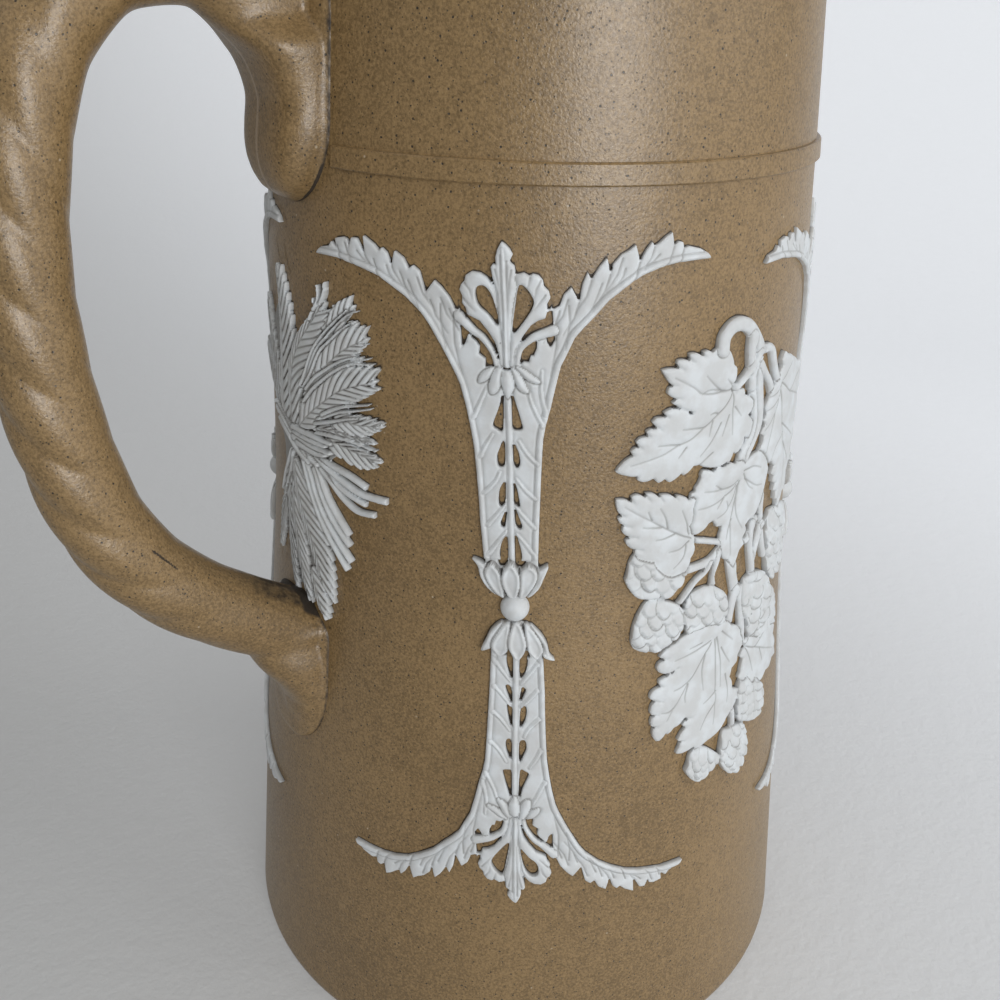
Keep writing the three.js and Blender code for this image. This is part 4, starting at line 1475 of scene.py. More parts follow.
    def cup(self, sheet: Sheet) -> None:
        """Calyx at the knop: five hollow sepals, the outer two with swept tips."""
        def sepal(u: Array, v: Array, rim: Array) -> Array:
            """Height of a sepal: bellied, lower at the calyx's sides and raised along its edge."""
            share = np.clip((v - 2.4) / 6, 0, 1)
            belly = 0.95 + 0.95 * np.sin(np.pi * (0.12 + 0.62 * share)) + 0.3 * step(share, 0.82, 1)
            return belly * (1 - 0.4 * (u / 6) ** 2) + 0.28 * bell(rim - 0.3, 0.25)

        sheet.lay(self.calyx, self.thickness, seam=0, line=0)
        for outline in self.sepals:
            sheet.lay(smoothed(outline, True, 3), sepal, seam=0.4, line=0.8)


@dataclass(frozen=True)
class Clays:
    """The two clays: white for the sprigs, tan for the body and the skirt of soiling and painted shade
    round each sprig.
    """

    white: Material
    tan: Material

    def lay(self, sheet: Sheet, name: str, node: str, place: Place, up: float = 1.0) -> None:
        """Lays a pressed sprig on the body.

        Args:
            sheet: The pressed sprig.
            name: Its name.
            node: The CAD node that it stands for.
            place: Puts u, v and lift on the body.
            up: 1 where v runs up the body, -1 where it runs down.
        """
        sprig, skirt = sheet.finished(name, place, up)
        kept(sprig, Slot.SPRIG, self.white, node)
        kept(skirt, Slot.CLAY, self.tan)


@dataclass
class Columns:
    """Four columns, each an upper and a lower sprig from one mould with a knop between them.

    The leans and the skew are the slight slant at which the sprigs were laid, as shares of a length.
    """

    form: BodyForm = FORM
    angles: tuple[float, ...] = (231.47, 321.47, 51.47, 141.47)
    knop_height: float = 98.4
    knop_radius: float = 2.35
    knop_lift: float = 0.5
    foot: float = 98.0
    upper_lean: float = -0.0605
    lower_lean: float = 0.034
    lower_skew: float = -0.072

    def build(self, clays: Clays) -> None:
        """Builds the columns.

        Args:
            clays: The clays.
        """
        sheet = ColumnMould().pressed()
        for number, angle in enumerate(self.angles, 1):
            def above(u: Array, v: Array, lift: Array) -> Array:
                """Puts the upper sprig's points on the body."""
                return self.form.on(angle, u + self.upper_lean * v, self.foot + v, lift)

            def below(u: Array, v: Array, lift: Array) -> Array:
                """Puts the lower sprig's points on the body, turned right round."""
                down = v + self.lower_skew * u
                return self.form.on(angle, -u + self.lower_lean * down, self.foot - down, lift)

            clays.lay(sheet, f"column_sprig_{number}_upper", f"column_{number}_upper", above)
            clays.lay(sheet, f"column_sprig_{number}_lower", f"column_{number}_lower", below, -1)
            self.knop(number, angle, clays.white)

    def knop(self, number: int, angle: float, white: Material) -> None:
        """Adds the knop, a ball half sunk in the wall.

        Args:
            number: The column's number.
            angle: Its angle.
            white: The sprigs' clay.
        """
        deselected()
        turn = math.radians(angle)
        reach = float(self.form.radius(self.knop_height)) + self.knop_lift
        spot = Vector((reach * math.cos(turn), reach * math.sin(turn), self.knop_height)) * MM
        size = self.knop_radius * MM
        bpy.ops.mesh.primitive_uv_sphere_add(segments=40, ring_count=24, radius=size, location=spot)
        knop = bpy.context.object
        knop.name = knop.data.name = f"round_knop_{number}"
        bpy.ops.object.transform_apply(location=True, rotation=True, scale=True)
        bpy.ops.object.shade_smooth()
        p = points_of(knop)
        lift = np.hypot(p[:, 0], p[:, 1]) - self.form.radius(p[:, 2])
        # Darker where the ball meets the wall.
        tagged(knop, step(lift, 0.7, 0.1) * 0.6)
        kept(knop, Slot.SPRIG, white, f"column_{number}_knop")


@dataclass(frozen=True)
class Leaf:
    """A toothed leaf: its outline, its cut veins and its height."""

    outline: Points
    veins: Outlines
    height: float = 0.9

    def lay_on(self, sheet: Sheet) -> None:
        """Lays the leaf on a sheet, with a soft valley along each vein."""
        sheet.lay(crowned(self.outline, 0.05), self.height, 0.25, 0.8, 0.4, 0.85)
        for vein in self.veins:
            line = smoothed(vein, False, 4)
            sheet.groove(line, 1.6, 0.14, 0.5)
            sheet.groove(line, 0.26, 0.2, 0.6, 0.68)


@dataclass(frozen=True)
class Cone:
    """A hop cone: overlapping round bracts on a low domed body, pointing along its heading.

    A bract's half width is a share of the cone's width, its half length is in millimetres.
    """

    outline: Points
    heading: float
    height: float = 1.55
    bract_width: float = 0.16
    bract_length: float = 1.95

    def lay_on(self, sheet: Sheet) -> None:
        """Lays the cone on a sheet, its lowest bracts first."""
        turn = math.radians(self.heading)
        axes = np.array([[math.cos(turn), math.sin(turn)], [-math.sin(turn), math.cos(turn)]])
        outline = smoothed(self.outline, True, 4)
        ends = axes @ np.array(outline).T
        middle = (ends.max(1) + ends.min(1)) / 2
        length, width = np.ptp(ends, 1)

        def spot(u: Array, v: Array) -> tuple[Array, Array]:
            """Place along and across the cone, as shares of its size."""
            along, across = (u * row[0] + v * row[1] for row in axes)
            return (along - middle[0]) / length, (across - middle[1]) / width

        def domed(u: Array, v: Array, rim: Array) -> Array:
            """Height of the cone's body."""
            x, y = spot(u, v)
            return 0.65 + (self.height - 1.0) * np.sqrt(np.clip(1 - 3.6 * x * x - 3.6 * y * y, 0, 1))

        sheet.lay(outline, domed, seam=0.5)
        part, rim = sheet.inside(outline)
        tall, shade_and_dirt_lines = self.bracts(*spot(sheet.u[part], sheet.v[part]), length)
        sheet.height[part] += np.where(rim > 0, tall, 0)
        sheet.stain[part] = np.where(rim > 0, shade_and_dirt_lines, sheet.stain[part])

    def bracts(self, x: Array, y: Array, length: float) -> tuple[Array, Array]:
        """Bracts in staggered rows, each over the row below it.

        Args:
            x: Place along the cone, as a share of its length.
            y: Place across it, as a share of its width.
            length: The cone's length.

        Returns:
            Height over the cone's body, and painted shade along the bracts' edges.
        """
        tall, shade_and_dirt_lines = np.zeros(x.shape), np.zeros(x.shape)
        rows = max(4, round(length / 2.1))
        half_length = self.bract_length / length
        for row in range(rows):
            foot = 0.46 - row * 0.92 / rows
            places = (-0.375, -0.125, 0.125, 0.375) if row % 2 else (-0.5, -0.25, 0.0, 0.25, 0.5)
            for number, place in enumerate(places):
                stray = math.sin(5.1 * row + 2.3 * number + self.heading)
                aside = (y - place - 0.025 * stray) / self.bract_width
                ahead = (x - foot + 0.1 + 0.03 * math.cos(3.7 * number + 1.9 * row)) / half_length
                reach = (np.abs(ahead) ** 1.7 + np.abs(aside) ** 1.7) ** (1 / 1.7)
                crest = 0.1 + 0.38 * step(ahead, -1, 0.7) - 0.18 * aside**2 + 0.05 * stray
                covered = step(1 - reach, 0.0, 0.2)
                # Painted shade just outside each bract's edge, on the bract that it overlaps.
                edge = bell(reach - 1.06, 0.11) * (reach > 1)
                tall = tall * (1 - covered) + crest * covered - 0.12 * edge
                shade_and_dirt_lines = np.where(reach < 1, 0, np.maximum(shade_and_dirt_lines, (0.4 + 0.3 * stray) * edge))
        return tall, shade_and_dirt_lines


@dataclass
class HopMould:
    """Mould of the hop spray: leaves and cones on looping stems.

    The first on_top of its stems and cones lie over the others. leaves_below and leaves_above number the
    leaves in the order in which they are laid, before and after those cones.
    """

    pitch: float = 0.18
    on_top: int = 3
    leaves_below: tuple[int, ...] = (5, 3, 1)
    leaves_above: tuple[int, ...] = (2, 4, 0)
    leaves: tuple[Leaf, ...] = (
        Leaf((
            (-2.5, 39.4), (-1.5, 38.2), (-0.75, 36.4), (-0.1, 35.9), (0.1, 35), (0, 33.8), (-0.4, 33),
            (0.1, 32.4), (0.25, 31.6), (0.75, 32), (1.5, 32.1), (2.25, 31.9), (2.6, 30.8), (3.5, 30.4),
            (4.25, 29.9), (4.9, 29.2), (5, 28.3), (4.7, 27.5), (4, 27.1), (4.4, 26.7), (5.4, 25.6),
            (5.3, 24.7), (5, 23.6), (4.6, 23), (3.5, 23.4), (3.4, 22.4), (2.9, 21.6), (2.2, 21.1),
            (1.5, 20.9), (1.1, 21.4), (0.6, 20.4), (0, 19.6), (-0.5, 19.9), (-2, 19.6), (-5, 20.1),
            (-6.4, 20.8), (-7.6, 20.9), (-8.75, 19.9), (-9.5, 19.6), (-9.9, 20.1), (-10.6, 19.5),
            (-12, 18.9), (-12.9, 19.6), (-14, 19.1), (-14.9, 20), (-16.5, 19.6), (-17.7, 20.1),
            (-17.6, 20.7), (-19.5, 21), (-21.3, 21.8), (-20.5, 22.9), (-19.2, 23.9), (-18.5, 24.2),
            (-19, 24.9), (-18.3, 25.5), (-17.3, 25.3), (-18.2, 26.4), (-17.6, 27), (-16.1, 27.1),
            (-16.6, 28), (-15.9, 28.3), (-14.2, 28), (-15.7, 29.4), (-15.1, 30), (-13, 29.8),
            (-13.8, 30.7), (-12.4, 31.2), (-11.5, 31), (-8.75, 29.6), (-8.5, 30.1), (-11.5, 31.5),
            (-12.5, 32.1), (-11.1, 32.6), (-12.5, 33), (-13.4, 33.7), (-13.2, 34.6), (-11.9, 34.7),
            (-13, 35.2), (-13.9, 36.4), (-14.6, 37.5), (-12.8, 37.6), (-10.9, 37.1), (-12.1, 38.2),
            (-12, 38.7), (-11, 38.8), (-9.1, 38), (-9.9, 39), (-10, 39.5), (-8.7, 39.5), (-7.1, 38.5),
            (-7.4, 39.5), (-6.4, 39.6), (-4.8, 38.4), (-5.3, 39.3), (-4.5, 39.6),
        ), (
            ((-0.2, 31.9), (-2, 30), (-4, 28.4), (-6.5, 26.9), (-9, 25.5), (-11.5, 24.75), (-14, 23.75),
                (-19, 22.6)),
            ((-0.2, 32.4), (-3.25, 32.4), (-7, 32.8), (-9, 34.2), (-12.4, 36.1)),
            ((-0.6, 33), (-2.2, 34.4)), ((-3.25, 32.7), (-4.8, 33.9), (-6.6, 35.6)),
            ((-0.1, 31.4), (-0.2, 28), (0, 24.7)), ((0.3, 29.3), (1.8, 27.5)),
            ((-4.4, 28), (-4.8, 26.8), (-5.1, 25.5)), ((-2.7, 27.3), (-4.4, 24.6), (-6.6, 22.4)),
            ((-9.4, 24.4), (-10.8, 22.9)), ((-6.2, 27.1), (-8, 27.3), (-10.4, 27.5)),
            ((-10.6, 25), (-12.6, 25.3), (-14.6, 25.4)), ((-4, 22.5), (-5.2, 21.8), (-6.4, 20.9)),
            ((-1, 28.2), (-2.3, 25)), ((-3.6, 29), (-4.4, 29.2), (-5.2, 29.1)),
            ((-2.2, 32.4), (-5.6, 33.2), (-7.2, 32.7)),
        )),
        Leaf((
            (-5.5, 19.6), (-5.9, 18.9), (-5.7, 18.3), (-6.2, 17.4), (-6.8, 16.8), (-6.7, 16.2),
            (-7.6, 15.9), (-7.6, 15.1), (-6.6, 14.6), (-6.9, 13.4), (-6.8, 12), (-7.5, 10.4), (-7.3, 9),
            (-6.4, 8.3), (-5, 8.6), (-4.1, 9), (-3.4, 9.7), (-2.4, 10), (-1.7, 9.1), (-1.5, 8.6),
            (-0.3, 8.5), (-0.1, 7.5), (-0.5, 6.5), (-0.2, 5.4), (0.1, 4), (0.4, 2.6), (1, 1.8), (2, 1.5),
            (2.6, 0.7), (3.5, -0.3), (4.5, 1), (5.1, 2.3), (6.2, 3), (5.8, 3.9), (5.9, 4.5), (6.8, 5.5),
            (6.4, 6.5), (7.2, 7), (9, 7.3), (10.2, 8.4), (11.2, 10.5), (12.4, 13.4), (12.8, 15),
            (11, 17.5), (8.6, 19.4), (5.6, 18.9), (4.5, 18.3), (3.3, 19.2), (2, 18.9), (0.8, 19.5),
            (-0.6, 19.2), (-2, 19.4), (-3.2, 18.8), (-4.2, 19.4),
        ), (
            ((3.3, 15.6), (1, 15.2), (-2, 15.3), (-5, 15.8)),
            ((2.9, 15), (1, 14.2), (-1, 13.4), (-3.6, 12.9), (-6, 12.9)),
            ((3, 14.6), (1.8, 12.6), (0.6, 11), (-1.6, 10.2)), ((3.4, 14.6), (2, 10), (2, 6), (2.4, 2.2)),
            ((3.7, 15.4), (2.8, 12), (3.4, 9), (5.2, 6.4)),
            ((4.6, 16.5), (5.4, 15), (6.2, 13.8), (7.4, 13)), ((2.1, 9), (1.4, 7.4), (1, 5.6)),
            ((-1, 15.2), (-2.6, 16.4)), ((0, 13.8), (-1.8, 12)), ((1, 11.6), (0.4, 12.8)),
            ((4.6, 17), (7, 17.2), (9.6, 16.2)), ((5, 15.5), (8.2, 13.4), (10.4, 12.8)),
        ), 0.8),
        Leaf((
            (-21, 17.1), (-19.6, 17), (-18.1, 16.1), (-18.5, 17.3), (-17.6, 17.6), (-16.6, 17.2),
            (-15.4, 16.3), (-16.1, 17.6), (-15, 17.5), (-13.9, 16.8), (-13.1, 15.8), (-13.5, 16.9),
            (-12.5, 16.9), (-11.4, 16.5), (-10.3, 15.5), (-10.5, 16.3), (-9.3, 16), (-8.5, 15.6),
            (-8, 14.9), (-7.2, 15.3), (-6.7, 14.8), (-7, 13.4), (-7, 11.6), (-7.5, 10.2), (-6.9, 8.6),
            (-6.2, 8), (-6.4, 7.2), (-6.1, 6), (-6.4, 5), (-6.9, 4.4), (-7, 3.5), (-7.6, 2.6), (-9.5, 2),
            (-11.6, 2.4), (-13, 3.6), (-14, 5), (-14.2, 5.5), (-15.4, 5.8), (-16.8, 6.4), (-17.6, 7.4),
            (-17.4, 8), (-16.2, 7.7), (-17.9, 8.2), (-18.8, 8.9), (-19.2, 9.8), (-18.8, 10.1),
            (-17.3, 10.1), (-19.1, 10.7), (-19.8, 11.5), (-19.7, 12.3), (-18.4, 12.1), (-20.2, 13),
            (-20.6, 13.9), (-19.6, 14.2), (-20.5, 14.8), (-20.9, 16),
        ), (
            ((-7, 8), (-9, 9), (-12, 10.75), (-15, 12.75), (-17.75, 14.5), (-19.6, 15.8)),
            ((-11.8, 10.8), (-12.4, 12.8), (-13.5, 14.7)), ((-14.8, 12.8), (-15.6, 14.4)),
            ((-10.4, 9.6), (-12.6, 9.2), (-14, 9.2)), ((-12.8, 11.2), (-15, 11.5), (-16.4, 11.8)),
            ((-7.4, 7.6), (-9.4, 6.7), (-11.5, 6.6)), ((-7.6, 9.2), (-8.2, 11), (-9.4, 13.6)),
            ((-7.4, 8.8), (-8, 10)), ((-8, 7.2), (-8.6, 5), (-10.4, 3.4)),
        )),
        Leaf((
            (8.9, 27), (9.8, 25.6), (8.8, 24.8), (9.7, 23.8), (8.3, 22.6), (9.6, 21.8), (9.4, 20.6),
            (8.5, 19.2), (10, 17.4), (12.2, 15.8), (13.6, 16), (15, 14.6), (14.1, 13.4), (15.4, 12.6),
            (15.3, 11.4), (16.6, 10.8), (15.9, 9.6), (17.4, 9), (17.2, 7.4), (18.4, 7.2), (19, 5.4),
            (20.8, 7.4), (22.8, 8), (22.6, 11), (24.4, 12.2), (24, 14.4), (26.6, 16.4), (25.6, 19.2),
            (27.4, 21.4), (26.4, 24.4), (28, 26.4), (26.8, 28.2), (26.8, 30), (22.4, 31.6), (19.3, 33.2),
            (16.2, 34.4), (14.5, 35.3), (13.6, 34), (14.3, 32.8), (13.2, 31.9), (13.4, 30.8), (12, 30.4),
            (10.8, 29.6), (10.4, 28.6),
        ), (
            ((15, 29.5), (13, 25.5), (11.4, 21), (10.4, 17.6)),
            ((15.2, 29.6), (18, 27.6), (21.4, 26.2), (25, 24.8)), ((15, 30), (16.6, 31.6), (18.4, 32.6)),
            ((14.6, 28.8), (15.6, 24), (18, 18.6), (19.6, 13), (19.4, 9)),
            ((14.4, 29.4), (12.4, 28.6), (10, 28.4)), ((16.6, 22), (20.4, 19.6), (23.6, 17.6)),
            ((18, 18.4), (21, 14.6), (23, 12.4)), ((14.2, 27.6), (12, 26.6), (9.6, 26.2)),
            ((13, 25.4), (11, 23.6), (9.4, 22.8)), ((19.4, 27), (22, 28.8), (24.6, 29.2)),
            ((17.6, 20), (14.4, 18.4), (13, 16)),
        ), 1.0),
        Leaf((
            (0.5, -10.6), (-2.5, -9.6), (-8, -10.2), (-9.2, -11), (-11.2, -11.6), (-12.5, -12.8),
            (-11, -13.5), (-12.5, -14), (-12.95, -14.8), (-12.7, -15.5), (-11.6, -16.2), (-10.4, -16.4),
            (-8.8, -15.9), (-9.4, -16.6), (-11.2, -17), (-12.4, -17.4), (-12.5, -18), (-11.9, -18.7),
            (-13.2, -18.9), (-14.1, -19.6), (-14.3, -20.4), (-13.6, -20.9), (-11.8, -21.6),
            (-13.4, -21.4), (-14, -22.2), (-14.2, -23), (-14, -23.6), (-12.6, -24.1), (-13.8, -24.3),
            (-14.1, -25.3), (-14, -25.9), (-12.8, -26.4), (-13.6, -26.6), (-13.7, -27.5), (-13.5, -28.5),
            (-13, -29.2), (-12.4, -29.3), (-11.5, -28.7), (-11, -28.1), (-10.8, -28.5), (-10, -28.2),
            (-9.4, -27.6), (-8.2, -27.3), (-7.4, -26.6), (-7, -26.3), (-5.6, -26.9), (-7.4, -27.2),
            (-7.5, -27.8), (-6.6, -28.4), (-7.4, -29), (-8, -29.7), (-8.5, -30.5), (-7.3, -31),
            (-8, -31.3), (-8.1, -31.9), (-8.5, -32.5), (-8.8, -33.1), (-8, -33.4), (-6.5, -33.4),
            (-5, -33.1), (-4.5, -33.7), (-1.6, -33.2), (2, -32.2), (2.6, -31.6), (3.5, -30.6),
            (4.5, -29.8), (5.4, -29.2), (6, -28.7), (6.5, -27.5), (6.6, -25.9), (5.4, -25.4), (5, -24.8),
            (4.8, -23.4), (4.1, -22.4), (4.6, -20.8), (6.2, -20), (6.3, -18.8), (7.3, -17.6),
            (7.5, -16.2), (6.8, -15), (6.7, -14), (5.6, -12.6), (4, -12), (2.2, -10.4),
        ), (
            ((0.1, -12.8), (0.7, -15.5), (1.1, -18), (1.3, -23)),
            ((1.3, -15.2), (2.4, -17.2), (3.6, -19)),
            ((-0.3, -13), (-0.2, -18), (0, -23.2), (0.2, -25), (-0.4, -30)),
            ((-2.6, -15), (-3.5, -18), (-3.1, -22)),
            ((-1.2, -13.4), (-4, -16.5), (-6, -19), (-8.4, -22), (-11, -25.6)),
            ((-6.4, -19.8), (-7.2, -21.8), (-7.2, -23)), ((-1.4, -12.9), (-5.5, -13.7), (-9.5, -14.2)),
            ((-6.2, -19.3), (-8, -19.8), (-9.6, -20)), ((1.3, -12), (2.8, -13.4), (4.2, -14.7)),
            ((0.2, -23.6), (-2.2, -24.6), (-3, -24.8)), ((0.1, -26), (-2, -27.6), (-3.6, -30)),
            ((-3.6, -12.6), (-6.4, -12.8)), ((2.6, -21), (3.4, -24.6), (3.2, -27)),
            ((-9.6, -23.6), (-10.6, -24), (-12, -23.8)),
        )),
        Leaf((
            (9.4, -16.8), (8, -16.9), (8.8, -18), (10.1, -19.2), (8.6, -18.8), (7.1, -19.6), (8.4, -20.6),
            (7.8, -22.1), (7.7, -23), (7, -24), (8.6, -25.1), (9.8, -24.6), (11.6, -26.9), (13.2, -26.5),
            (15.9, -29), (18, -28), (20.1, -28.4), (21.6, -27.2), (24, -27.6), (23.2, -25.4),
            (23.6, -24.2), (22, -22), (22.6, -20.4), (18, -18.6), (13, -18.4),
        ), (
            ((9, -18.6), (12.2, -20), (16, -22), (21.4, -24.8)),
            ((8.6, -18.4), (11, -16.4), (14, -14.6), (18, -12.2)),
            ((9.4, -19), (10.6, -22), (11.6, -24.6)), ((12.6, -20.2), (15.6, -19), (18.6, -18.6)),
            ((14.6, -21.4), (15.6, -24.4)), ((11.4, -16.2), (14.4, -16.6), (16.6, -16)),
        ), 0.85),
    )
    cones: tuple[Cone, ...] = (
        Cone(((-17.4, 7.2), (-18.8, 3.7), (-18.9, 2.3), (-17.3, -0.3), (-14.8, -1.4), (-11.2, -1.9),
             (-9.1, -0.8), (-7.9, 1.2), (-8, 5), (-12, 7.6)), -100),
        Cone(((-15.1, -1.8), (-12.7, -1.9), (-9.6, -3.3), (-8.1, -4.9), (-7.8, -7.4), (-9, -9.5),
             (-11.6, -11), (-14.3, -11.4), (-17.4, -10), (-17.7, -7.5), (-17, -4.7)), -98),
        Cone(((-7.6, -3.9), (-5.3, -2.1), (-1.7, -2.3), (1.5, -4.6), (2.3, -7.1), (1.9, -10),
             (-1.1, -12.1), (-4.9, -12), (-7.4, -8.8)), -96),
        Cone(((-5.3, -34.1), (-2.6, -33.9), (1.8, -37.9), (-0.3, -39.6), (-3.9, -40.8), (-6.6, -37.9),
             (-6.1, -36.1)), -112),
        Cone(((2.9, -33.3), (4.3, -33.3), (6.8, -33.5), (9.1, -34.7), (10.5, -38.6), (10.4, -41.7),
             (8, -44.3), (4.3, -42.8), (2.1, -39.4), (2.1, -36)), -80),
        Cone(((7.4, -4.4), (6.7, -7.2), (7.3, -10.6), (8.8, -13.5), (9.6, -16.2), (14.8, -20.3),
             (22.7, -21.7), (21.5, -18.4), (21.3, -13.9), (18.2, -10.1), (14.4, -5.6), (10.6, -4)), -62),
        Cone(((17.4, 5.4), (14.8, 5), (14.4, 3.1), (15.1, -0.8), (14.8, -1.5), (15.2, -3.9), (16, -6.5),
             (20, -9.5), (24, -6.4), (25.6, -1), (24, 4), (20.4, 5.6)), -84),
        Cone(((7.3, -25), (11, -25.4), (15.7, -28.9), (17.7, -32.8), (17.5, -34.8), (13.5, -35.7),
             (9.9, -34.4), (6.8, -32.4), (6.6, -28.8)), -52),
    )
    stems: tuple[tuple[float, Points], ...] = (
        (1.15, ((-3.4, 39.2), (-3.3, 41), (-2.2, 42.3), (-0.5, 42.8), (1.7, 42.2), (3.6, 40.5),
            (4.9, 38.9), (5.7, 37.5))),
        (0.85, ((3.2, 40.4), (3.2, 38), (3.5, 36), (3.9, 34.4), (4.2, 31.8))),
        (0.62, ((5.6, 37.2), (3.9, 35.3), (1.9, 33.6), (0.1, 32.5))),
        (1.0, ((5.8, 38), (6, 35), (6.6, 31.4), (7.4, 27.6), (7.5, 24.6), (6.2, 22), (4.6, 19.8),
            (4.1, 18))),
        (0.75, ((4.8, 35.6), (4.6, 32), (5.4, 28.6), (6, 25.6), (5.4, 23.2), (3.6, 20.6), (3.2, 18.6))),
        (0.78, ((6.2, 37.3), (8.4, 37.3), (9.7, 36.5), (10.8, 34.2), (12, 32), (14, 29.6))),
        (0.72, ((6.6, 35), (8, 33.2), (9.8, 31.2), (10.8, 29.6))),
        (0.5, ((-6.2, 7.4), (-4, 6.7), (-1.4, 5.8), (0.6, 5))),
        (0.7, ((-8, 2.2), (-5, 2.3), (-2.5, 2.6), (-0.6, 3.7), (1, 4.6))),
        (0.45, ((-2.4, 2.2), (-3.4, 0.9), (-5.5, -0.3), (-7, -1.7), (-9, -3.8))),
        (0.6, ((-0.4, 3.6), (-1.2, 0.4), (-1.6, -3))),
        (1.5, ((3.2, 2.5), (3.6, 0), (4.4, -3), (5.4, -6))),
        (0.85, ((5.7, -5.2), (6.6, -8.6), (7.1, -12.4), (7.5, -17))),
        (0.9, ((4.8, -5.2), (3.9, -8), (3.2, -11.4), (3.4, -13))),
        (0.7, ((12.2, 15), (11.4, 11.6), (11.2, 8), (12.2, 3), (13.2, 0), (14, -2))),
        (0.75, ((12, 5), (10.8, 2), (9.8, -1), (10, -4), (11.4, -6.6))),
        (0.6, ((9.6, 6.6), (7.6, 3.8), (6.2, 3.2), (4.4, 2.4))),
        (0.7, ((8.6, 6), (8.4, 2.4), (9.4, -2.4), (10.4, -6))),
        (0.6, ((12.2, 4.4), (15, 5.6), (17.8, 5), (19.4, 4))),
        (0.55, ((5, -28.4), (5.4, -30.6), (5.6, -33.6))),
    )
    holes: Outlines = (
        ((11.9, 8), (12.4, 11.4), (13.4, 13), (14.6, 11.2), (16.4, 7.4), (15.2, 6.4), (13.4, 4.6),
            (12.6, 5.4)),
        ((4.3, -0.6), (5.2, 2), (7.2, 2.4), (7.3, -1), (7, -4), (5.9, -5), (5, -3.6)),
        ((-1.4, -0.6), (-0.6, 1.4), (0.1, 2.2), (0.2, 0), (0.8, -2.6), (0.9, -3.4), (-0.4, -2.8)),
    )

    def pressed(self) -> Sheet:
        """Models the spray.

        Returns:
            Its sheet.
        """
        sheet = Sheet((-23, -45), (28.5, 45.5), self.pitch)
        top = self.on_top
        for half_width, path in self.stems[top:]:
            sheet.rib(smoothed(path, False), half_width, 1.1, 0.6, 0.3)
        below = [self.leaves[number] for number in self.leaves_below]
        above = [self.leaves[number] for number in self.leaves_above]
        for piece in (*self.cones[top:], *below, *self.cones[:top], *above):
            piece.lay_on(sheet)
        for half_width, path in self.stems[:top]:
            sheet.rib(smoothed(path, False), half_width, 1.3, 0.8, 0.4)
        for outline in self.holes:
            sheet.cut(smoothed(outline, True, 3))
        return sheet


@dataclass(frozen=True)
class Ear:
    """An ear of barley: two rows of grains, side by side, that slant off a bent middle line.

    left and right are the length of a row's longest grains and their degrees off the middle at their roots.
    fan is the share of that slant left at the ear's tip, and bow how much a grain bends.
    """

    path: Points
    left: Pair = (5.0, 30.0)
    right: Pair = (5.0, 30.0)
    spacing: float = 1.8
    height: float = 1.05
    fan: float = 0.78
    bow: float = 0.3

    def row(
        self, run: Array, away: Array, count: float, length: float, slant: float, shift: float
    ) -> tuple[Array, Array, Array]:
        """One row of grains.

        Args:
            run: Place along the middle.
            away: Distance from the middle.
            count: Number of grains in the row.
            length: Length of the longest.
            slant: Degrees off the middle at their roots, a little fewer towards the ear's tip.
            shift: Share of a grain by which the row is set on.

        Returns:
            Distance inside the row, height, and the dark lines of soiling and painted shade at the grains'
            edges and down the middle.
        """
        cot = 1 / math.tan(math.radians(slant))
        fan = (1 / math.tan(math.radians(self.fan * slant)) - cot) / count
        bow = self.bow * cot / (length * math.sin(math.radians(slant)))
        place = (run - cot * away - bow * away**2) / (self.spacing + fan * away) + shift
        number = np.floor(place)
        across = place - number - 0.5
        width = (self.spacing + fan * away) / np.hypot(1, cot + fan * place + 2 * bow * away)
        share = np.clip((number + 0.5) / count, 0, 1)
        stray = np.sin(12.9 * number + 7 * slant)
        size = length * (0.4 + 0.6 * np.sin(np.pi * (0.2 + 0.74 * share)) + 0.05 * stray)
        span = size / np.hypot(1, cot + fan * number + bow * length * 0.4)
        t = away / span
        round_tip = np.sqrt(np.clip(1 - np.clip((t - 0.6) / 0.4, 0, 1) ** 2, 0, 1))
        within = np.minimum((0.5 * round_tip - np.abs(across)) * width, span - away)
        rim = np.maximum(within, 0.68 * span - away)
        gap = np.minimum(place + 0.3, count + 0.5 - place)
        rim = np.minimum(rim, np.minimum(gap * width, gap * 0.7 * self.spacing))
        edge = (0.5 - np.abs(across)) * width
        back = np.sqrt(np.clip(1 - (2 * across) ** 2, 0, 1))
        tall = self.height * (0.6 + 0.4 * back) + 0.14 * (1 - t) - 0.14 * across + 0.05 * stray
        # Dark lines of soiling and painted shade at each grain's edges and down the ear's middle.
        shade_and_dirt_lines = (0.86 + 0.14 * stray) * bell(edge, 0.18)
        return rim, tall, np.maximum(shade_and_dirt_lines, 0.6 * bell(away, 0.16))

    def lay_on(self, sheet: Sheet) -> None:
        """Lays the ear on a sheet, with a last grain at its tip."""
        def rounded(share: Array) -> Array:
            """Half the width of the last grain."""
            return 0.62 * np.sqrt(np.clip(1.02 - share**2, 0, 1))

        line = smoothed(self.path, False, 6)
        end, before = np.array(line[-1]), np.array(line[-2])
        ahead = (end - before) / np.hypot(*(end - before))
        tip = [tuple(end - ahead), tuple(end + 2.4 * ahead)]
        sheet.rib(tip, rounded, self.height, self.height * 0.6, 0.3, 0.8)
        longest = max(self.left[0], self.right[0])
        part, run, aside, _ = sheet.along([*line, tuple(end + longest * ahead)], longest + 0.8)
        count = float(np.sum(np.hypot(*np.diff(np.array(line), axis=0).T))) / self.spacing
        left = self.row(run, np.abs(aside), count, *self.left, 0)
        right = self.row(run, np.abs(aside), count, *self.right, 0.5)
        rim, tall, shade_and_dirt_lines = (np.where(aside > 0, a, b) for a, b in zip(left, right))
        sheet.cover(part, rim, tall, shade_and_dirt_lines, 0.35, 0.85)


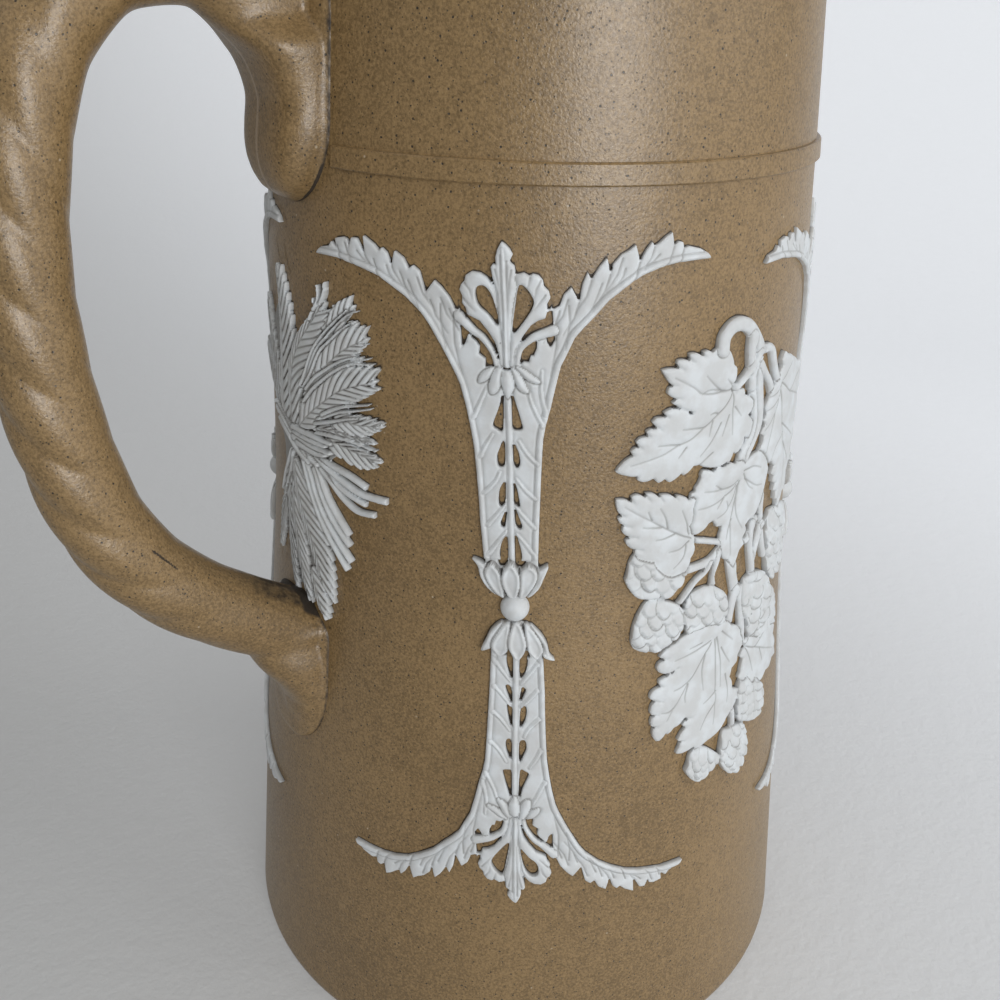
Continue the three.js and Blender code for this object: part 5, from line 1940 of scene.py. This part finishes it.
@dataclass
class BarleyMould:
    """Mould of the barley sheaf: ears above and below a tie, with cut straws.

    laid_first of the front ears and awns lie under the rest. The first right_straws of the straws fan out
    to the right, over the ears. A straw or stem is a half width and a middle line.
    """

    pitch: float = 0.155
    laid_first: int = 6
    right_straws: int = 8
    ground: Points = (
        (-9, 22), (-5.5, 22), (-2, 16), (1, 16), (5, 20), (9, 21), (11.5, 18), (11, 14), (12, 9), (12, 4),
        (10, 0.5), (7, -2), (5.5, -5), (7.6, -16), (7.6, -22), (6.6, -27), (2, -28), (-3, -27.5),
        (-8, -20), (-9, -12), (-8.5, -4), (-13.5, 4), (-14, 15),
    )
    back_ears: tuple[Ear, ...] = (
        Ear(((-6, 2), (-10.4, 9), (-14, 15.6), (-16, 19)), (4.6, 34), (4.6, 34), height=0.85),
        Ear(((-7, 1), (-12, 6), (-16.4, 9.6), (-18.6, 11)), (4.4, 34), (4.4, 34), height=0.85),
        Ear(((-6.9, 1), (-6.6, 8), (-6.4, 14), (-6.5, 19), (-7.2, 23), (-7.9, 25.4)), (4.8, 30), (7, 44),
             2.15, 0.95),
        Ear(((-5, -7), (-7.2, -13), (-9, -18), (-10.4, -22.6)), (4.6, 28), (4.6, 28), height=0.85),
        Ear(((-4.8, -8), (-4.8, -14), (-4.4, -20), (-3.6, -25), (-3, -27.6)), (4.4, 26), (4.4, 26),
             1.9, 0.9),
        Ear(((-3.4, -9), (-2.8, -15), (-1.4, -20), (0.1, -24.6), (1.4, -28)), (5, 38), (4.4, 26),
             2.0, 0.95),
    )
    front_ears: tuple[Ear, ...] = (
        Ear(((2.6, 3.2), (8, 4.2), (13, 4.5), (15.6, 4.4)), (3.6, 20), (3.6, 24), 1.9, 0.95),
        Ear(((7.4, 2.5), (11, 2.4), (14, 2.1), (16.8, 1.7)), (4, 20), (4.6, 44), 2.0, 1.0),
        Ear(((8, 6.4), (12, 6.7), (15, 6.9), (17.2, 7.2)), (4, 28), (4.2, 40), 1.9, 1.0),
        Ear(((1.6, 13.6), (4.6, 16.6), (7.5, 19.4), (10, 21.9), (12, 24)), (5.4, 42), (2, 20), 2.0, 1.0),
        Ear(((-3.2, 2), (-3.1, 7.5), (-2.8, 10.5), (-1.9, 13.3), (-0.6, 15.6), (1.2, 18), (3.4, 20.4),
             (5.8, 23.2)), (4.8, 26), (6.8, 38), 2.2, 1.05),
        Ear(((3.2, 11.6), (5, 13), (7.5, 14.8), (9.6, 16.6), (12, 18.6), (14.4, 20)), (6.6, 46),
             (5.4, 28), 2.0, 1.1),
        Ear(((-0.4, 2.2), (2.2, 4.8), (4.8, 7), (7.4, 9), (10, 11), (12.6, 12.5), (16, 13.9)), (6.8, 42),
             (6.6, 33), 2.1, 1.15),
        Ear(((-2.7, -5), (-1.6, -9.5), (0.4, -13.2), (2.6, -16.6), (4.6, -19.8), (5.7, -22.6),
             (6.4, -24.4)), (7.2, 42), (5.2, 26), 2.1, 1.05),
        Ear(((3.4, -23.5), (4.8, -26.4), (6.4, -29.6)), (3.8, 44), (3.8, 26), 1.9, 1.1),
    )
    awns: Outlines = (
        ((0.6, 9.6), (2.5, 12.2), (5, 17), (7.5, 19.4), (10, 21.9), (12.6, 24.2), (14.4, 25)),
        ((1.4, 9.9), (3.3, 12.4), (6, 16.9), (8.6, 19.3), (11.6, 21.9), (14, 23.4)),
        ((0, 9.6), (1.8, 12.4), (4.2, 16.8), (7, 20), (10, 22.8), (12.4, 24.8)),
        ((3.4, 21.6), (4.4, 23.4), (4.6, 25.2)), ((4.6, 23.4), (5.8, 25.4), (5.5, 27.4)),
        ((6.2, 24.6), (7.2, 26.4), (7.4, 28.2)),
        ((1.5, 8.4), (3.8, 10.9), (6.4, 13), (9.7, 15.1), (12.3, 16.5), (16.9, 18.1)),
        ((1.2, 7.2), (3.8, 10), (6.6, 12.3), (9.4, 14.4), (13, 16.4), (17.6, 17.3)),
        ((2, 9.6), (4.6, 12.2), (7, 13.9), (10, 15.9), (12.9, 17.3), (15.4, 18)),
        ((5.2, 5.2), (7.6, 6.5), (10.2, 7.8), (12.8, 8.6), (17.2, 10)),
        ((6.4, 6.4), (9, 7.9), (12, 9.2), (16.8, 10.6)),
        ((4.4, 4.2), (8.2, 5.6), (12.4, 7.2), (14.6, 7.8)),
        ((4.6, 2.6), (8, 3.2), (13.2, 3.6), (18.2, 3.2)),
    )
    straws: tuple[tuple[float, Points], ...] = (
        (0.5, ((-4, -1), (1, -1.6), (7.8, -2.2), (12.3, -2.7), (16.2, -3.8))),
        (0.55, ((-3, -1.4), (5, -2.5), (9.7, -3.8), (15, -5.2), (20.3, -5.2))),
        (0.48, ((-2, -2), (4, -3), (8.4, -4.7), (12.3, -6), (16.2, -6.8))),
        (0.48, ((-1, -2.4), (4, -3.2), (7.6, -4.8), (11, -7.1), (14.4, -8.5), (18, -8.2))),
        (0.6, ((2.6, -2), (5, -5), (7.2, -8.4), (10, -11.2), (12.5, -13.6))),
        (0.56, ((1.8, -2.2), (4, -5), (5.6, -8.3), (8.6, -12), (12.8, -15.4))),
        (0.56, ((0.6, -2.6), (2.5, -5.8), (4.2, -9.2), (7.2, -13), (13.2, -18.3))),
        (0.52, ((-0.2, -3), (1.2, -6.4), (3.1, -9.9), (6.4, -14.2), (12.4, -20.1))),
        (0.4, ((-4.6, -3.6), (-6, -6), (-8, -9.6), (-9.4, -13))),
        (0.4, ((-4, -3.8), (-4.8, -7), (-6.8, -11), (-8, -14))),
    )
    tie: Outlines = (
        ((-10.6, 3.4), (-7, 2), (-3, 0.2), (1.6, -2), (5, -3)),
        ((-9, 1.8), (-5.6, 0.6), (-1.8, -1.4), (2.2, -3)),
        ((-7.6, 0.4), (-4, -1), (-0.6, -2.8), (3, -3.6)),
        ((-9.8, 2.6), (-6.2, 1.3), (-2.4, -0.6), (2, -2.5)),
        ((-8.4, 1.1), (-4.8, -0.2), (-1.2, -2.1), (2.6, -3.3)), ((-2.8, 1.4), (2, 1.6), (8.6, 1.9)),
        ((-2.6, 0.3), (2, 0.6), (7.2, 1)), ((-2.6, -0.4), (3, -0.3), (8.4, 0.1)),
        ((-1, -0.9), (4, -1.1), (7, -0.7)),
    )

    def laid(self, sheet: Sheet, ears: Sequence[Ear], awns: Sequence[Line], height: float) -> None:
        """Lays ears, and then awns over them, which thin towards their tips.

        Args:
            sheet: The sheet.
            ears: The ears, the lowest first.
            awns: Middle lines of the awns.
            height: Height of the awns' backs.
        """
        for ear in ears:
            ear.lay_on(sheet)
        for path in awns:
            thinned = lambda share: 0.3 * np.clip(1.3 - share, 0.35, 1)
            sheet.rib(smoothed(path, False), thinned, height, height - 0.5, 0.35, 0.85)

    def pressed(self) -> Sheet:
        """Models the sheaf.

        Returns:
            Its sheet.
        """
        sheet = Sheet((-25.5, -34.5), (22.5, 31.5), self.pitch)
        sheet.lay(smoothed(self.ground, True, 3), 0.45, seam=0)
        # The ground between the ears is darkened: painted shade in the gaps.
        sheet.stain[sheet.rim > 0] = 0.6
        self.laid(sheet, self.back_ears, (), 0)
        first, right = self.laid_first, self.right_straws
        for half_width, path in self.straws[right:]:
            sheet.rib(smoothed(path, False), half_width, 1.0, 0.6, 0.3, 0.8, True)
        self.laid(sheet, self.front_ears[:first], self.awns[:first], 1.3)
        self.laid(sheet, self.front_ears[first:], self.awns[first:], 1.35)
        for half_width, path in self.straws[:right]:
            sheet.rib(smoothed(path, False), half_width, 1.15, 0.6, 0.35, 0.85, True)
        for path in self.tie:
            sheet.rib(smoothed(path, False), lambda s: 0.5 - 0.22 * s**4, 1.55, 1.05, 0.35, 0.85)
        return sheet


@dataclass(frozen=True)
class Sprays:
    """Two like sprigs from one mould, laid on opposite sides of the body at one height."""

    name: str
    node: str
    mould: HopMould | BarleyMould
    angles: Pair
    middle: float
    form: BodyForm = FORM

    def build(self, clays: Clays) -> None:
        """Builds the two sprigs.

        Args:
            clays: The clays.
        """
        sheet = self.mould.pressed()
        for number, angle in enumerate(self.angles, 1):
            def place(u: Array, v: Array, lift: Array) -> Array:
                """Puts the sprig's points on the body."""
                return self.form.on(angle, u, self.middle + v, lift)

            clays.lay(sheet, f"{self.name}_{number}", f"{self.node}_{number}", place)


# Stage


@dataclass
class Viewpoint:
    """Camera at the photograph's place, found from the body's outline and the band.

    focal and image are in pixels of the photograph, sensor is the camera's in millimetres, and yaw, pitch
    and roll are in radians.
    """

    sensor: float = 36.0
    focal: float = 1063.375
    image: float = 1000.0
    distance: float = 197.75
    height: float = 188.66
    towards: float = -127.0
    yaw: float = -0.0284244
    pitch: float = 0.4518888
    roll: float = 0.0236852

    def build(self) -> None:
        """Adds the camera."""
        level, tilt = math.cos(self.pitch), math.sin(self.pitch)
        forward = Vector((math.sin(self.yaw) * level, math.cos(self.yaw) * level, -tilt))
        right = Vector((math.cos(self.yaw), -math.sin(self.yaw), 0))
        up = right.cross(forward)
        turned_right = right * math.cos(self.roll) + up * math.sin(self.roll)
        turned_up = up * math.cos(self.roll) - right * math.sin(self.roll)
        axes = Matrix((turned_right, turned_up, -forward)).transposed()
        swing = Matrix.Rotation(math.radians(self.towards + 90), 3, "Z")
        data = bpy.data.cameras.new("viewpoint")
        data.sensor_width = self.sensor
        data.lens = self.sensor * self.focal / self.image
        data.clip_start = 0.01
        data.clip_end = 20
        camera = linked("viewpoint", data)
        camera.matrix_world = (swing @ axes).to_4x4()
        camera.location = swing @ Vector((0, -self.distance, self.height)) * MM
        bpy.context.scene.camera = camera


@dataclass
class Studio:
    """Paper sweep and soft lamps, turned to the viewpoint.

    The sweep's sizes are in millimetres, the shoulder's height is in metres, and key, side, fill and glint
    are in watts.
    """

    towards: float = -127.0
    half_width: float = 1700.0
    front: float = -1300.0
    bend: float = 420.0
    bend_radius: float = 620.0
    top: float = 1900.0
    key: float = 7.5
    side: float = 5.4
    fill: float = 1.3
    glint: float = 7.5
    room: float = 0.23
    room_colour: Colour = (1.0, 0.98, 0.95)
    shoulder: float = 0.16

    def lamp(
        self, name: str, azimuth: float, elevation: float, distance: float, size: Pair, power: float
    ) -> Piece:
        """An area lamp that faces the pitcher.

        Args:
            name: The lamp's name.
            azimuth: Degrees to the right of the viewpoint, seen from the pitcher.
            elevation: Degrees above the pitcher's shoulder.
            distance: Metres from the pitcher.
            size: Width and height, in metres.
            power: Watts.

        Returns:
            The lamp.
        """
        data = bpy.data.lights.new(name, "AREA")
        data.shape = "RECTANGLE"
        data.size, data.size_y = size
        data.energy = power
        lamp = linked(name, data)
        a, e = math.radians(self.towards + azimuth), math.radians(elevation)
        out = Vector((math.cos(a) * math.cos(e), math.sin(a) * math.cos(e), math.sin(e)))
        lamp.location = Vector((0, 0, self.shoulder)) + out * distance
        lamp.rotation_mode = "QUATERNION"
        lamp.rotation_quaternion = (-out).to_track_quat("-Z", "Y")
        return lamp

    def sweep(self, paper: Material) -> None:
        """Adds the ground, which curves up behind the pitcher into a backdrop.

        Args:
            paper: Its material.
        """
        turn = np.radians(np.arange(0, 91, 5))
        away = [self.front, *(self.bend + self.bend_radius * np.sin(turn)), self.bend + self.bend_radius]
        height = [0, *(self.bend_radius * (1 - np.cos(turn))), self.top]
        ahead = math.radians(self.towards + 180)
        along = np.array([math.cos(ahead), math.sin(ahead), 0])
        across = np.array([-math.sin(ahead), math.cos(ahead), 0])
        points = [
            s * along + w * across + np.array([0, 0, z])
            for s, z in zip(away, height)
            for w in (self.half_width, -self.half_width)
        ]
        faces = [(2 * i, 2 * i + 1, 2 * i + 3, 2 * i + 2) for i in range(len(away) - 1)]
        ground = meshed("paper_ground", np.array(points), faces)
        ground.data.materials.append(paper)

    def build(self, paper: Material) -> None:
        """Adds the sweep, the lamps and the even light of the room.

        Args:
            paper: The sweep's material.
        """
        self.sweep(paper)
        self.lamp("window", 23, 11, 1.4, (0.62, 0.5), self.key)
        self.lamp("side_window", 78, 24, 1.3, (0.9, 1.0), self.side)
        self.lamp("room", -50, 50, 1.1, (0.9, 0.9), self.fill)
        sheen = self.lamp("window_glint", 30, 5, 1.4, (0.7, 0.5), self.glint)
        sheen.visible_diffuse = False
        world = bpy.data.worlds.new("room_light")
        bpy.context.scene.world = world
        world.use_nodes = True
        back = world.node_tree.nodes["Background"]
        back.inputs["Color"].default_value = (*self.room_colour, 1.0)
        back.inputs["Strength"].default_value = self.room


def main() -> None:
    """Builds the pitcher, its stage and its viewpoint."""
    logging.basicConfig(level=logging.INFO, format="%(message)s")
    clays = Clays(tan=TanClay().made(), white=WhiteClay().made())
    Vessel().build(clays.tan)
    RopeHandle().build(clays.tan)
    Columns().build(clays)
    Sprays("hop_sprig", "hop_spray", HopMould(), (-86.7, 93.3), 99.7).build(clays)
    Sprays("barley_sprig", "barley_sheaf", BarleyMould(), (-177.0, 3.0), 118.5).build(clays)
    Viewpoint().build()
    Studio().build(PaperSweep().made())
    bpy.context.scene.view_settings.view_transform = "Standard"


if __name__ == "__main__":
    main()
